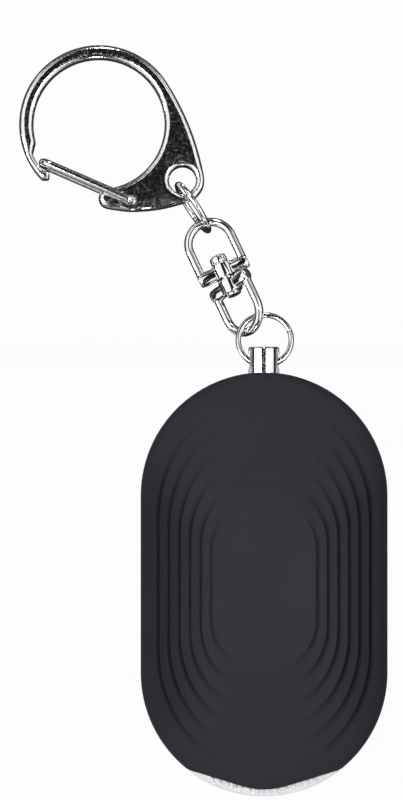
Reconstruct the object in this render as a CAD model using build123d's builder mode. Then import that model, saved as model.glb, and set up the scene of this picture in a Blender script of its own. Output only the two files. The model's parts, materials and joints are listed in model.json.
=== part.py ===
from build123d import *

import os
from math import atan2, cos, degrees, radians, sin, sqrt

# Personal safety alarm: a pull-pin siren with a torch window, on a swivel chain with a snap hook.
# Sizes are in millimetres. The alarm lies on its flat back. Z points out of the front face, Y runs
# along the body towards the pull pin and the hook, and the origin is the centre of the back face.

os.makedirs("parts", exist_ok=True)

# Housing
body_width = 37.0
body_length = 63.5
body_depth = 19.0
wall = 1.6
parting_height = 9.5
back_round = 3.6
rim_round = 1.2
seam_chamfer = 0.2
fit_gap = 0.12
cut_overrun = 1.0

# Stepped front: a flat panel in the middle, then one groove per step out to the rim
panel_width = 15.4
panel_length = 25.4
rim_land_side = 1.3
rim_land_end = 2.15
step_drop = 0.62
step_round = 0.28
groove_length_shares = (0, 0.178, 0.355, 0.538, 0.716, 0.876, 1)
groove_straight_shares = (1, 0.93, 0.87, 0.80, 0.78, 0.83, 0.91)
step_count = len(groove_length_shares)

# Torch window at the bottom end
lens_width = 24.4
lens_drop = 3.75
lens_corner_height = 4.3
lens_dip_radius = 11.5
lens_tip_width = 22.6
lens_low = 3.4
lens_high = 14.1
lens_gap = 0.08
lens_round = 0.35
lens_root = 0.3
window_width = 18.0
window_height = 7.6
window_level = 8.4
lens_flange_width = 21.2
lens_flange_height = 9.0
lens_flange_thickness = 0.8

# Torch lamps
lamp_count = 2
lamp_pitch = 8.4
lamp_diameter = 3.0
lamp_flange_diameter = 3.6
lamp_flange_thickness = 0.9
lamp_length = 4.3
lamp_board_width = 19.6
lamp_board_height = 8.4
lamp_board_thickness = 0.8
lamp_board_gap = 0.1

# Side button and its switch
button_end_room = 21.95
button_length = 9.0
button_width = 4.6
button_stand = 0.25
button_round = 0.3
button_travel = 0.4
button_flange_thickness = 0.75
button_flange_margin = 0.7
button_flange_gap = 0.2
scallop_depth = 0.45
scallop_length = 10.4
scallop_margin = 1.8
switch_length = 6.0
switch_width = 3.4
switch_height = 5.0
switch_clearance = 0.35
plunger_length = 3.0
plunger_width = 1.4
plunger_reach = 1.6
plunger_gap = 0.06
plunger_end_gap = 0.1

# Siren
disc_margin = 5.0
disc_thickness = 0.25
ceramic_margin = 4.0
ceramic_thickness = 0.2
chamber_wall = 0.7
chamber_lip = 1.0
chamber_height = 1.8
disc_gap = 0.1
slot_count = 5
slot_pitch = 3.2
slot_width = 1.4
slot_length = 15.0
slot_shortening = 2.6

# Circuit board and what it carries
board_height = 5.2
board_thickness = 1.0
board_gap = 0.5
board_battery_gap = 1.1
board_end_room = 2.95
post_diameter = 2.4
post_side_room = 4.5
post_side_drop = 10.5
post_top_spread = 4.5
post_end_room = 6.75
coil_across = 9.0
coil_rise = 4.0
coil_diameter = 6.0
coil_height = 5.4
coil_cheek = 0.7
coil_waist = 4.6
coil_core_diameter = 2.0
coil_core_stand = 0.5
chip_across = 3.0
chip_length = 4.9
chip_width = 3.9
chip_height = 1.5
chip_lift = 0.15
chip_leg_pitch = 1.27
chip_leg_count = 4
chip_leg_width = 0.42
chip_leg_reach = 1.05
chip_leg_thickness = 0.22
lead_diameter = 0.7
siren_lead_inner = 3.0
siren_lead_outer = 11.5
lamp_lead_inset = 0.5
lamp_lead_bend = 1.2
lamp_lead_rest = 0.05
lamp_lead_landing = 0.7

# Battery of three button cells lying in a trough across the body
cell_count = 3
cell_diameter = 11.6
cell_thickness = 5.4
cell_step = 0.5
cell_spacing = 0.04
cell_button_diameter = 9.6
battery_end_room = 15.45
battery_siren_gap = 0.4
cradle_floor = 1.3
cradle_wall = 1.0
cradle_side = 0.7
cradle_rim_height = 8.0
cell_gap = 0.1
contact_thickness = 0.3
contact_width = 6.0
contact_foot_height = 4.4
contact_tab = 0.9
leaf_room = 1.3
leaf_bow_low = 4.9
leaf_bow_high = 7.0

# Housing screws
screw_bottom_side_room = 6.1
screw_bottom_end_room = 16.75
screw_top_side_room = 9.2
screw_top_end_room = 11.25
screw_shank_diameter = 2.0
screw_head_diameter = 3.3
screw_head_height = 1.3
screw_recess = 1.1
screw_head_gap = 0.15
screw_shank_gap = 0.05
screw_reach = 3.2
screw_cross_width = 0.5
screw_cross_length = 2.0
screw_cross_depth = 0.7
boss_diameter = 4.8

# Pull pin, its metal cap and the socket it plugs into
pin_height = 9.5
pin_diameter = 2.5
pin_inside = 13.4
pin_in_cap = 2.0
pin_tip_round = 0.8
pin_groove_depth = 0.25
pin_groove_width = 0.9
pin_groove_place = 3.0
cap_diameter = 4.7
cap_length = 5.7
cap_stand = 3.85
cap_round = 0.35
cap_hole_diameter = 2.1
cap_hole_below_top = 2.35
cap_gap = 0.15
socket_width = 6.8
socket_height = 6.6
socket_seat_gap = 0.2
socket_tail = 0.6
socket_bore_gap = 0.3
pin_gap = 0.1
wiper_thickness = 0.3
wiper_width = 1.6
wiper_length = 6.0
wiper_depth = 11.6
wiper_slot_gap = 0.15
wiper_stand = 0.4

# Split of the chain: ring, swivel, link ring
ring_radius = 4.0
ring_wire = 0.85
ring_tilt = 18.0
ring_shift = 0.15
ring_seat = 0.45
loop_seat_angle = 142.0
loop_seat_depth = 1.42
swivel_heading = 25.0
swivel_dip = 13.0
lower_turn = 40.0
loop_radius = 3.4
loop_wire = 1.3
lower_length = 9.35
upper_length = 9.85
swivel_gap = 0.3
crossbar_height = 2.2
crossbar_thickness = 1.9
crossbar_round = 0.5
hub_diameter = 3.2
rivet_diameter = 1.5
rivet_gap = 0.06
rivet_head_diameter = 2.6
rivet_head_height = 1.35
rivet_head_round = 0.45
rivet_foot_diameter = 2.3
rivet_foot_height = 0.5
link_radius = 4.15
link_wire = 0.9
link_centre_across = -10.66
link_centre_along = 56.69
link_heading = 33.5
link_lean = 8.0
link_lift = 0.05

# Snap hook, drawn about the centre of its round mouth
hook_across = -24.9
hook_along = 69.3
hook_tilt = 5.8
hook_lift = 0.05
hook_thickness = 2.6
hook_edge_chamfer = 0.45
hook_inner_radius = 9.93
hook_band = 2.17
eyelet_across = 12.65
eyelet_along = -8.54
eyelet_radius = 2.06
lobe_radius = 3.3
hook_side_radius = 39.0
hook_foot_radius = 22.0
tail_radius = 1.5
tail_angle = -82.8
nose_angle = 225.0
nose_bulge_angle = 229.3
toe_angle = 224.5
toe_lift = 0.52
notch_depth = 1.14
notch_start_angle = 219.5
notch_end_angle = 205.0
notch_run_angle = 196.0

# Sprung wire gate
gate_wire = 1.25
gate_gap = 0.06
gate_pivot_across = 4.9
gate_pivot_along = -11.74
gate_end_lift = 0.4
gate_end_angle = 214.8
gate_bend = 1.3
gate_pivot_bend = 0.66
gate_stub_gap = 0.3

# Worked out from the sizes above
half_width = body_width / 2
half_length = body_length / 2
end_centre = half_length - half_width
rim_height = body_depth - step_count * step_drop
body_top = half_length
button_along = half_length - button_end_room
disc_diameter = body_width - 2 * disc_margin
ceramic_diameter = disc_diameter - 2 * ceramic_margin
chamber_radius = disc_diameter / 2 + disc_gap + chamber_wall
cradle_half_width = cell_diameter / 2 + cell_gap + cradle_side
battery_centre = half_length - battery_end_room
siren_centre = -battery_centre + cradle_half_width + battery_siren_gap + chamber_radius
board_low = -battery_centre + cradle_half_width + board_battery_gap
board_high = half_length - board_end_room
hook_outer_radius = hook_inner_radius + hook_band
toe_radius = hook_inner_radius + toe_lift
notch_radius = hook_inner_radius + notch_depth
gate_end_radius = hook_inner_radius + gate_end_lift


def groove(step):
    """Half width, half length and half straight length of one groove, counted from the panel out."""
    share = step / (step_count - 1)
    wide = panel_width / 2 + share * (half_width - rim_land_side - panel_width / 2)
    length_share = groove_length_shares[step]
    tall = panel_length / 2 + length_share * (half_length - rim_land_end - panel_length / 2)
    return wide, tall, (tall - wide) * groove_straight_shares[step]


def oval(step, inset=0):
    """Draw one groove's oval: straight sides and half-elliptical ends, drawn in by an inset."""
    wide, tall, straight = groove(step)
    Rectangle(2 * (wide - inset), 2 * straight)
    with Locations((0, straight), (0, -straight)):
        Ellipse(wide - inset, tall - straight - inset)


def level(step):
    """Height of the face inside one groove."""
    return body_depth - step * step_drop


def outline(inset=0, mode=Mode.ADD):
    """Draw the body's outline, drawn in by an inset."""
    SlotOverall(body_length - 2 * inset, body_width - 2 * inset, rotation=90, mode=mode)


def below_lens_line(shift=0, mode=Mode.ADD):
    """Draw the area below the housing's cut edge at the torch end, moved down by a shift."""
    corner = -half_length + lens_corner_height - shift
    reach = lens_width / 2
    floor = -half_length - cut_overrun
    with BuildLine() as edge:
        dip = FilletPolyline(
            (-reach, corner), (0, corner - lens_drop), (reach, corner), radius=lens_dip_radius
        )
        Polyline(dip @ 1, (reach, floor), (-reach, floor), dip @ 0)
    make_face(edge.edges(), mode=mode)


screw_bottom = (half_width - screw_bottom_side_room, screw_bottom_end_room - half_length)
screw_top = (half_width - screw_top_side_room, half_length - screw_top_end_room)
post_side = (half_width - post_side_room, siren_centre - post_side_drop)
post_top = (post_top_spread, half_length - post_end_room)


def both_sides(*places):
    """The places on the right, each with its twin on the left."""
    return [(side * across, along) for across, along in places for side in (-1, 1)]


screw_places = both_sides(screw_bottom, screw_top)
post_places = both_sides(post_side, post_top)

# Pin axis plane: looks down the body from the pin end
pin_plane = Plane(origin=(0, body_top, pin_height), x_dir=(1, 0, 0), z_dir=(0, 1, 0))
# Button plane: stands on the body's right side
button_plane = Plane(
    origin=(half_width - scallop_depth, button_along, parting_height),
    x_dir=(0, 1, 0),
    z_dir=(1, 0, 0),
)


def cut_side_openings():
    """Cut the pin's hole, the button's scallop and the button's hole out of the part being built."""
    with BuildSketch(pin_plane) as pin_hole:
        Circle(cap_diameter / 2 + cap_gap)
    extrude(pin_hole.sketch, amount=-2 * wall, mode=Mode.SUBTRACT)
    scallop_radius = ((scallop_length / 2) ** 2 + scallop_depth**2) / (2 * scallop_depth)
    scallop_height = button_width + 2 * scallop_margin
    with BuildSketch(Plane.XY.offset(parting_height - scallop_height / 2)) as scallop:
        with Locations((half_width - scallop_depth + scallop_radius, button_along)):
            Circle(scallop_radius)
    extrude(scallop.sketch, amount=scallop_height, mode=Mode.SUBTRACT)
    with BuildSketch(button_plane) as button_hole:
        SlotOverall(button_length + 2 * fit_gap, button_width + 2 * fit_gap)
    extrude(button_hole.sketch, amount=wall, both=True, mode=Mode.SUBTRACT)


def cut_torch_end(bottom, top):
    """Cut the torch end back to the lens line between two heights, and open its window."""
    with BuildSketch(Plane.XY.offset(bottom)) as cut_back:
        below_lens_line()
    extrude(cut_back.sketch, amount=top - bottom, mode=Mode.SUBTRACT)
    with BuildSketch(Plane.XZ.offset(half_length)) as window:
        with Locations((0, window_level)):
            Rectangle(window_width, window_height)
    extrude(window.sketch, amount=-(half_length - end_centre) / 2, mode=Mode.SUBTRACT)


# Front shell: the outline, then each step standing on the one before
with BuildPart() as front_shell:
    with BuildSketch(Plane.XY.offset(parting_height)):
        outline()
    extrude(amount=rim_height - parting_height)
    fillet(front_shell.edges().group_by(Axis.Z)[-1], rim_round)
    chamfer(front_shell.edges().group_by(Axis.Z)[0], seam_chamfer)
    for step in reversed(range(step_count)):
        with BuildSketch(Plane.XY.offset(level(step) - step_drop)):
            oval(step)
        extrude(amount=step_drop)
    for step in range(step_count):
        shoulder_and_foot = front_shell.edges().filter_by_position(
            Axis.Z, level(step) - step_round / 2, level(step) + step_round / 2
        )
        fillet(shoulder_and_foot, step_round)
    with BuildSketch(Plane.XY.offset(parting_height)):
        outline(wall)
        with Locations(*screw_places):
            Circle(boss_diameter / 2, mode=Mode.SUBTRACT)
    extrude(amount=rim_height - wall - parting_height, mode=Mode.SUBTRACT)
    for step in reversed(range(step_count)):
        with BuildSketch(Plane.XY.offset(parting_height)):
            oval(step, wall)
            with Locations(*screw_places):
                Circle(boss_diameter / 2, mode=Mode.SUBTRACT)
        extrude(amount=level(step) - wall - parting_height, mode=Mode.SUBTRACT)
    with BuildSketch(Plane.XY.offset(parting_height)):
        with Locations(*screw_places):
            Circle(screw_shank_diameter / 2 + screw_shank_gap)
    extrude(amount=screw_reach + fit_gap, mode=Mode.SUBTRACT)
    cut_side_openings()
    cut_torch_end(parting_height, body_depth)
front_shell.part.label = "front_shell"
export_step(front_shell.part, "parts/front_shell.step")

# Rear shell: a tray with a flat back, screw bosses, board posts and the siren's sound slots
with BuildPart() as rear_shell:
    with BuildSketch():
        outline()
    extrude(amount=parting_height)
    fillet(rear_shell.edges().group_by(Axis.Z)[0], back_round)
    chamfer(rear_shell.edges().group_by(Axis.Z)[-1], seam_chamfer)
    with BuildSketch(Plane.XY.offset(wall)):
        outline(wall)
    extrude(amount=parting_height - wall, mode=Mode.SUBTRACT)
    tray_floor = rear_shell.faces().filter_by_position(Axis.Z, wall / 2, wall + wall / 2)
    fillet(tray_floor.edges(), back_round - wall)
    with BuildSketch(Plane.XY.offset(wall)):
        with Locations(*screw_places):
            Circle(boss_diameter / 2)
    extrude(amount=parting_height - wall)
    with BuildSketch(Plane.XY.offset(wall)):
        with Locations(*post_places):
            Circle(post_diameter / 2)
    extrude(amount=board_height - wall)
    with BuildSketch():
        with Locations(*screw_places):
            Circle(screw_head_diameter / 2 + screw_head_gap)
    extrude(amount=screw_recess + screw_head_height, mode=Mode.SUBTRACT)
    with BuildSketch():
        with Locations(*screw_places):
            Circle(screw_shank_diameter / 2 + screw_shank_gap)
    extrude(amount=parting_height, mode=Mode.SUBTRACT)
    with BuildSketch():
        for slot in range(slot_count):
            from_middle = slot - (slot_count - 1) / 2
            with Locations((0, siren_centre + from_middle * slot_pitch)):
                SlotOverall(slot_length - abs(from_middle) * slot_shortening, slot_width)
    extrude(amount=wall, mode=Mode.SUBTRACT)
    cut_side_openings()
    cut_torch_end(lens_low, parting_height)
rear_shell.part.label = "rear_shell"
export_step(rear_shell.part, "parts/rear_shell.step")

# Torch lens: a crescent that follows the body's end, a plug through the window and a flange inside
with BuildPart() as led_lens:
    with BuildSketch(Plane.XY.offset(lens_low + lens_gap)):
        below_lens_line(lens_gap)
        outline(mode=Mode.INTERSECT)
        Rectangle(lens_tip_width, body_length, mode=Mode.INTERSECT)
    extrude(amount=lens_high - lens_low - 2 * lens_gap)
    ends = led_lens.faces().filter_by(Axis.Z).edges().filter_by(GeomType.CIRCLE)
    fillet(ends.filter_by(lambda edge: edge.radius > half_width - wall), lens_round)
    flange_inset = wall + lens_gap
    plug_height = window_height - 2 * lens_gap
    with BuildSketch(Plane.XY.offset(window_level - plug_height / 2)):
        outline()
        with Locations((0, -half_length)):
            Rectangle(window_width - 2 * lens_gap, half_length, mode=Mode.INTERSECT)
        below_lens_line(lens_gap + lens_root, mode=Mode.SUBTRACT)
        outline(flange_inset + lens_flange_thickness, mode=Mode.SUBTRACT)
    extrude(amount=plug_height)
    with BuildSketch(Plane.XY.offset(window_level - lens_flange_height / 2)):
        outline(flange_inset)
        outline(flange_inset + lens_flange_thickness, mode=Mode.SUBTRACT)
        with Locations((0, -half_length)):
            Rectangle(lens_flange_width, half_length, mode=Mode.INTERSECT)
    extrude(amount=lens_flange_height)
led_lens.part.label = "led_lens"
export_step(led_lens.part, "parts/led_lens.step")

# Lamp board, standing on edge against the battery trough, with the two torch lamps on it
lamp_board_back = -(battery_centre + cradle_half_width + lamp_board_gap)
lamp_board_face = lamp_board_back - lamp_board_thickness
with BuildPart() as lamp_board:
    with BuildSketch(Plane.XZ.offset(-lamp_board_back)):
        with Locations((0, window_level)):
            RectangleRounded(lamp_board_width, lamp_board_height, lead_diameter)
    extrude(amount=lamp_board_thickness)
lamp_board.part.label = "lamp_board"
export_step(lamp_board.part, "parts/lamp_board.step")

with BuildPart() as led_lamps:
    lamp_plane = Plane.XZ.offset(-lamp_board_face)
    with BuildSketch(lamp_plane):
        with Locations((0, window_level)):
            with GridLocations(lamp_pitch, 0, lamp_count, 1):
                Circle(lamp_flange_diameter / 2)
    extrude(amount=lamp_flange_thickness)
    with BuildSketch(lamp_plane):
        with Locations((0, window_level)):
            with GridLocations(lamp_pitch, 0, lamp_count, 1):
                Circle(lamp_diameter / 2)
    extrude(amount=lamp_length - lamp_diameter / 2)
    with Locations(lamp_plane.offset(lamp_length - lamp_diameter / 2)):
        with Locations((0, window_level)):
            with GridLocations(lamp_pitch, 0, lamp_count, 1):
                Sphere(lamp_diameter / 2)
led_lamps.part.label = "led_lamps"
export_step(led_lamps.part, "parts/led_lamps.step")

# Side button: a crowned key with a flange behind the wall
flange_back = half_width - wall - button_flange_gap - button_flange_thickness
with BuildPart() as led_button:
    with BuildSketch(button_plane.offset(flange_back - (half_width - scallop_depth))):
        SlotOverall(
            button_length + 2 * button_flange_margin, button_width + 2 * button_flange_margin
        )
    extrude(amount=button_flange_thickness)
    with BuildSketch(button_plane.offset(flange_back - (half_width - scallop_depth))):
        SlotOverall(button_length, button_width)
    extrude(amount=half_width - scallop_depth + button_stand - flange_back)
    fillet(led_button.faces().sort_by(Axis.X)[-1].edges(), button_round)
led_button.part.label = "led_button"
export_step(led_button.part, "parts/led_button.step")

# Switch plunger, pushed by the button, and the switch it slides in
switch_face = flange_back - button_travel - switch_clearance
with BuildPart() as switch_plunger:
    with BuildSketch(button_plane.offset(flange_back - (half_width - scallop_depth))):
        Rectangle(plunger_length, plunger_width)
    extrude(amount=-plunger_reach)
switch_plunger.part.label = "switch_plunger"
export_step(switch_plunger.part, "parts/switch_plunger.step")

board_face = board_height + board_thickness
with BuildPart() as tact_switch:
    with BuildSketch(Plane.XY.offset(board_face)):
        with Locations((switch_face - switch_width / 2, button_along)):
            Rectangle(switch_width, switch_length)
    extrude(amount=switch_height)
    with BuildSketch(button_plane.offset(switch_face - (half_width - scallop_depth))):
        Rectangle(plunger_length + 2 * plunger_gap, plunger_width + 2 * plunger_gap)
    recess = switch_face - flange_back + plunger_reach + button_travel + plunger_end_gap
    extrude(amount=-recess, mode=Mode.SUBTRACT)
tact_switch.part.label = "tact_switch"
export_step(tact_switch.part, "parts/tact_switch.step")

# Siren: a brass disc with its ceramic layer, held in a ring over the sound slots
siren_seat = wall + chamber_height
with BuildPart() as sound_chamber:
    with BuildSketch(Plane.XY.offset(wall)):
        with Locations((0, siren_centre)):
            Circle(chamber_radius)
            Circle(disc_diameter / 2 - chamber_lip, mode=Mode.SUBTRACT)
    extrude(amount=chamber_height + disc_thickness)
    with BuildSketch(Plane.XY.offset(siren_seat)):
        with Locations((0, siren_centre)):
            Circle(disc_diameter / 2 + disc_gap)
    extrude(amount=disc_thickness, mode=Mode.SUBTRACT)
sound_chamber.part.label = "sound_chamber"
export_step(sound_chamber.part, "parts/sound_chamber.step")

with BuildPart() as siren_disc:
    with BuildSketch(Plane.XY.offset(siren_seat)):
        with Locations((0, siren_centre)):
            Circle(disc_diameter / 2)
    extrude(amount=disc_thickness)
siren_disc.part.label = "siren_disc"
export_step(siren_disc.part, "parts/siren_disc.step")

with BuildPart() as siren_ceramic:
    with BuildSketch(Plane.XY.offset(siren_seat + disc_thickness)):
        with Locations((0, siren_centre)):
            Circle(ceramic_diameter / 2)
    extrude(amount=ceramic_thickness)
siren_ceramic.part.label = "siren_ceramic"
export_step(siren_ceramic.part, "parts/siren_ceramic.step")

# The siren's two leads: one down to the ceramic, one to the brass rim
disc_top = siren_seat + disc_thickness
with BuildPart() as siren_leads:
    with BuildSketch(Plane.XY.offset(disc_top + ceramic_thickness)):
        with Locations((-siren_lead_inner, siren_centre)):
            Circle(lead_diameter / 2)
    extrude(amount=board_height - disc_top - ceramic_thickness)
    with BuildSketch(Plane.XY.offset(disc_top)):
        with Locations((siren_lead_outer, siren_centre)):
            Circle(lead_diameter / 2)
    extrude(amount=board_height - disc_top)
siren_leads.part.label = "siren_leads"
export_step(siren_leads.part, "parts/siren_leads.step")

# Circuit board: follows the housing and clears the upper screw bosses
with BuildPart() as circuit_board:
    with BuildSketch(Plane.XY.offset(board_height)):
        outline(wall + board_gap)
        with Locations((0, (board_high + board_low) / 2)):
            Rectangle(body_width, board_high - board_low, mode=Mode.INTERSECT)
        with Locations(*screw_places):
            Circle(boss_diameter / 2 + board_gap, mode=Mode.SUBTRACT)
    extrude(amount=board_thickness)
circuit_board.part.label = "circuit_board"
export_step(circuit_board.part, "parts/circuit_board.step")

# Boost coil that drives the siren: a bobbin with two cheeks round a ferrite core
with BuildPart() as boost_coil:
    coil_levels = (
        (coil_diameter, board_face, coil_cheek),
        (coil_waist, board_face + coil_cheek, coil_height - 2 * coil_cheek),
        (coil_diameter, board_face + coil_height - coil_cheek, coil_cheek),
        (coil_core_diameter, board_face + coil_height, coil_core_stand),
    )
    for diameter, height, thickness in coil_levels:
        with BuildSketch(Plane.XY.offset(height)):
            with Locations((-coil_across, siren_centre + coil_rise)):
                Circle(diameter / 2)
        extrude(amount=thickness)
boost_coil.part.label = "boost_coil"
export_step(boost_coil.part, "parts/boost_coil.step")

# Control chip on its two rows of legs
with BuildPart() as control_chip:
    with BuildSketch(Plane.XY.offset(board_face + chip_lift)):
        with Locations((chip_across, siren_centre)):
            Rectangle(chip_length, chip_width)
    extrude(amount=chip_height)
    with BuildSketch(Plane.XY.offset(board_face)):
        with Locations((chip_across, siren_centre)):
            with GridLocations(chip_leg_pitch, chip_width + chip_leg_reach, chip_leg_count, 2):
                Rectangle(chip_leg_width, chip_leg_reach)
    extrude(amount=chip_lift + chip_leg_thickness)
control_chip.part.label = "control_chip"
export_step(control_chip.part, "parts/control_chip.step")

# Battery: button cells on one axis across the body, in a trough between two contacts
stack_length = cell_count * (cell_thickness + cell_spacing)
trough_length = stack_length + contact_thickness + leaf_room
cell_axis_height = wall + cradle_floor + cell_gap + cell_diameter / 2
plus_end = trough_length / 2 - contact_thickness
with BuildPart() as battery_cells:
    for cell in range(cell_count):
        start = plus_end - (cell + 1) * (cell_thickness + cell_spacing)
        cell_plane = Plane(
            origin=(start, -battery_centre, cell_axis_height), x_dir=(0, 1, 0), z_dir=(1, 0, 0)
        )
        with BuildSketch(cell_plane):
            Circle(cell_button_diameter / 2)
        extrude(amount=cell_step)
        with BuildSketch(cell_plane.offset(cell_step)):
            Circle(cell_diameter / 2)
        extrude(amount=cell_thickness - cell_step)
battery_cells.part.label = "battery_cells"
export_step(battery_cells.part, "parts/battery_cells.step")

cradle_length = trough_length + 2 * cradle_wall
with BuildPart() as battery_cradle:
    with BuildSketch(Plane.XY.offset(wall)):
        with Locations((0, -battery_centre)):
            Rectangle(cradle_length, 2 * cradle_half_width)
    extrude(amount=cradle_rim_height - wall)
    trough_plane = Plane(
        origin=(0, -battery_centre, cell_axis_height), x_dir=(0, 1, 0), z_dir=(1, 0, 0)
    )
    with BuildSketch(trough_plane):
        Circle(cell_diameter / 2 + cell_gap)
    extrude(amount=trough_length / 2, both=True, mode=Mode.SUBTRACT)
battery_cradle.part.label = "battery_cradle"
export_step(battery_cradle.part, "parts/battery_cradle.step")

trough_section = Plane.XZ.offset(battery_centre)
contact_middle = trough_length / 2 - contact_thickness / 2
tab_level = cradle_rim_height + contact_thickness / 2
with BuildPart() as battery_contact_plus:
    with BuildSketch(trough_section):
        with BuildLine():
            Polyline(
                (contact_middle, contact_foot_height),
                (contact_middle, tab_level),
                (contact_middle + contact_tab, tab_level),
            )
        trace(line_width=contact_thickness)
    extrude(amount=contact_width / 2, both=True)
battery_contact_plus.part.label = "battery_contact_plus"
export_step(battery_contact_plus.part, "parts/battery_contact_plus.step")

with BuildPart() as battery_leaf_minus:
    with BuildSketch(trough_section):
        with BuildLine():
            bow_reach = leaf_room - contact_thickness - cell_gap
            bow_middle = (leaf_bow_low + leaf_bow_high) / 2
            Polyline(
                (-contact_middle - contact_tab, tab_level),
                (-contact_middle, tab_level),
                (-contact_middle, contact_foot_height),
                (-contact_middle + bow_reach / 2, leaf_bow_low),
                (-contact_middle + bow_reach, bow_middle),
                (-contact_middle + bow_reach / 2, leaf_bow_high),
            )
        trace(line_width=contact_thickness)
    extrude(amount=contact_width / 2, both=True)
battery_leaf_minus.part.label = "battery_leaf_minus"
export_step(battery_leaf_minus.part, "parts/battery_leaf_minus.step")

# The torch lamps' two leads, over the ends of the trough to the circuit board
lead_level = cradle_rim_height + contact_thickness + lamp_lead_rest + lead_diameter / 2
lead_across = lamp_board_width / 2 - lamp_lead_inset
lead_landing = board_low + lamp_lead_landing
with BuildPart() as lamp_leads:
    for side in (-1, 1):
        with BuildLine() as lead_path:
            FilletPolyline(
                (side * lead_across, lamp_board_back, lead_level),
                (side * lead_across, lead_landing, lead_level),
                (side * lead_across, lead_landing, board_face),
                radius=lamp_lead_bend,
            )
        with BuildSketch(Plane(origin=lead_path.line @ 0, z_dir=lead_path.line % 0)):
            Circle(lead_diameter / 2)
        sweep(path=lead_path.line)
lamp_leads.part.label = "lamp_leads"
export_step(lamp_leads.part, "parts/lamp_leads.step")

# Housing screws, driven from the back
screw_seat = screw_recess + screw_head_height
with BuildPart() as housing_screws:
    with BuildSketch(Plane.XY.offset(screw_recess)):
        with Locations(*screw_places):
            Circle(screw_head_diameter / 2)
    extrude(amount=screw_head_height)
    with BuildSketch(Plane.XY.offset(screw_seat)):
        with Locations(*screw_places):
            Circle(screw_shank_diameter / 2)
    extrude(amount=parting_height + screw_reach - screw_seat)
    with BuildSketch(Plane.XY.offset(screw_recess)):
        with Locations(*screw_places):
            Rectangle(screw_cross_length, screw_cross_width)
            Rectangle(screw_cross_width, screw_cross_length)
    extrude(amount=screw_cross_depth, mode=Mode.SUBTRACT)
housing_screws.part.label = "housing_screws"
export_step(housing_screws.part, "parts/housing_screws.step")

# Pull pin: a plug with a rounded tip and a groove, pressed into a metal cap
cap_bottom = body_top + cap_stand - cap_length
cap_top = body_top + cap_stand
cap_plane = Plane(origin=(0, cap_bottom, pin_height), x_dir=(1, 0, 0), z_dir=(0, 1, 0))
with BuildPart() as pull_pin:
    with BuildSketch(cap_plane.offset(-pin_inside)):
        Circle(pin_diameter / 2)
    extrude(amount=pin_inside + pin_in_cap)
    fillet(pull_pin.faces().sort_by(Axis.Y)[0].edges(), pin_tip_round)
    with BuildSketch(cap_plane.offset(pin_groove_place - pin_inside)):
        Circle(pin_diameter / 2)
        Circle(pin_diameter / 2 - pin_groove_depth, mode=Mode.SUBTRACT)
    extrude(amount=pin_groove_width, mode=Mode.SUBTRACT)
pull_pin.part.label = "pull_pin"
export_step(pull_pin.part, "parts/pull_pin.step")

cap_hole_place = Vector(0, cap_top - cap_hole_below_top, pin_height)
with BuildPart() as pin_cap:
    with BuildSketch(cap_plane):
        Circle(cap_diameter / 2)
    extrude(amount=cap_length)
    fillet(pin_cap.faces().sort_by(Axis.Y)[-1].edges(), cap_round)
    with BuildSketch(cap_plane):
        Circle(pin_diameter / 2)
    extrude(amount=pin_in_cap, mode=Mode.SUBTRACT)
    with BuildSketch(Plane(origin=cap_hole_place, x_dir=(0, 1, 0), z_dir=(1, 0, 0))):
        Circle(cap_hole_diameter / 2)
    extrude(amount=cap_diameter, both=True, mode=Mode.SUBTRACT)
pin_cap.part.label = "pin_cap"
export_step(pin_cap.part, "parts/pin_cap.step")

# Socket on the board that the pin plugs into, with a wiper that the pin lifts off its contact
socket_front = cap_bottom - socket_seat_gap
socket_length = pin_inside + socket_tail - socket_seat_gap + socket_bore_gap
wiper_start = cap_bottom - wiper_depth
with BuildPart() as pin_socket:
    with BuildSketch(Plane.XY.offset(board_face)):
        with Locations((0, socket_front - socket_length / 2)):
            Rectangle(socket_width, socket_length)
    extrude(amount=socket_height)
    with BuildSketch(cap_plane.offset(-socket_seat_gap)):
        Circle(pin_diameter / 2 + pin_gap)
    extrude(amount=-(pin_inside - socket_seat_gap + socket_bore_gap), mode=Mode.SUBTRACT)
    with BuildSketch(Plane.XY.offset(pin_height)):
        slot_length_along = wiper_length + wiper_thickness + 2 * wiper_slot_gap
        with Locations((0, wiper_start - wiper_slot_gap + slot_length_along / 2)):
            Rectangle(wiper_width + 2 * wiper_slot_gap, slot_length_along)
    extrude(amount=socket_height, mode=Mode.SUBTRACT)
pin_socket.part.label = "pin_socket"
export_step(pin_socket.part, "parts/pin_socket.step")

wiper_level = pin_height + pin_diameter / 2 + pin_gap + wiper_thickness / 2
with BuildPart() as socket_wiper:
    with BuildSketch(Plane.YZ):
        with BuildLine():
            Polyline(
                (wiper_start, wiper_level),
                (wiper_start + wiper_length + wiper_slot_gap, wiper_level),
                (
                    wiper_start + wiper_length + wiper_slot_gap,
                    board_face + socket_height + wiper_stand,
                ),
            )
        trace(line_width=wiper_thickness)
    extrude(amount=wiper_width / 2, both=True)
socket_wiper.part.label = "socket_wiper"
export_step(socket_wiper.part, "parts/socket_wiper.step")

# Ring through the cap's cross hole, tipped down towards the table
ring_up = Vector(0, cos(radians(ring_tilt)), -sin(radians(ring_tilt)))
ring_right = Vector(1, 0, 0)
ring_centre = (
    cap_hole_place + Vector(ring_shift, 0, 0) + ring_up * (ring_radius - ring_seat)
)
ring_plane = Plane(origin=ring_centre, x_dir=ring_right, z_dir=ring_right.cross(ring_up))
with BuildPart() as pin_ring:
    with Locations(ring_plane):
        Torus(ring_radius, ring_wire / 2)
pin_ring.part.label = "pin_ring"
export_step(pin_ring.part, "parts/pin_ring.step")

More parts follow.
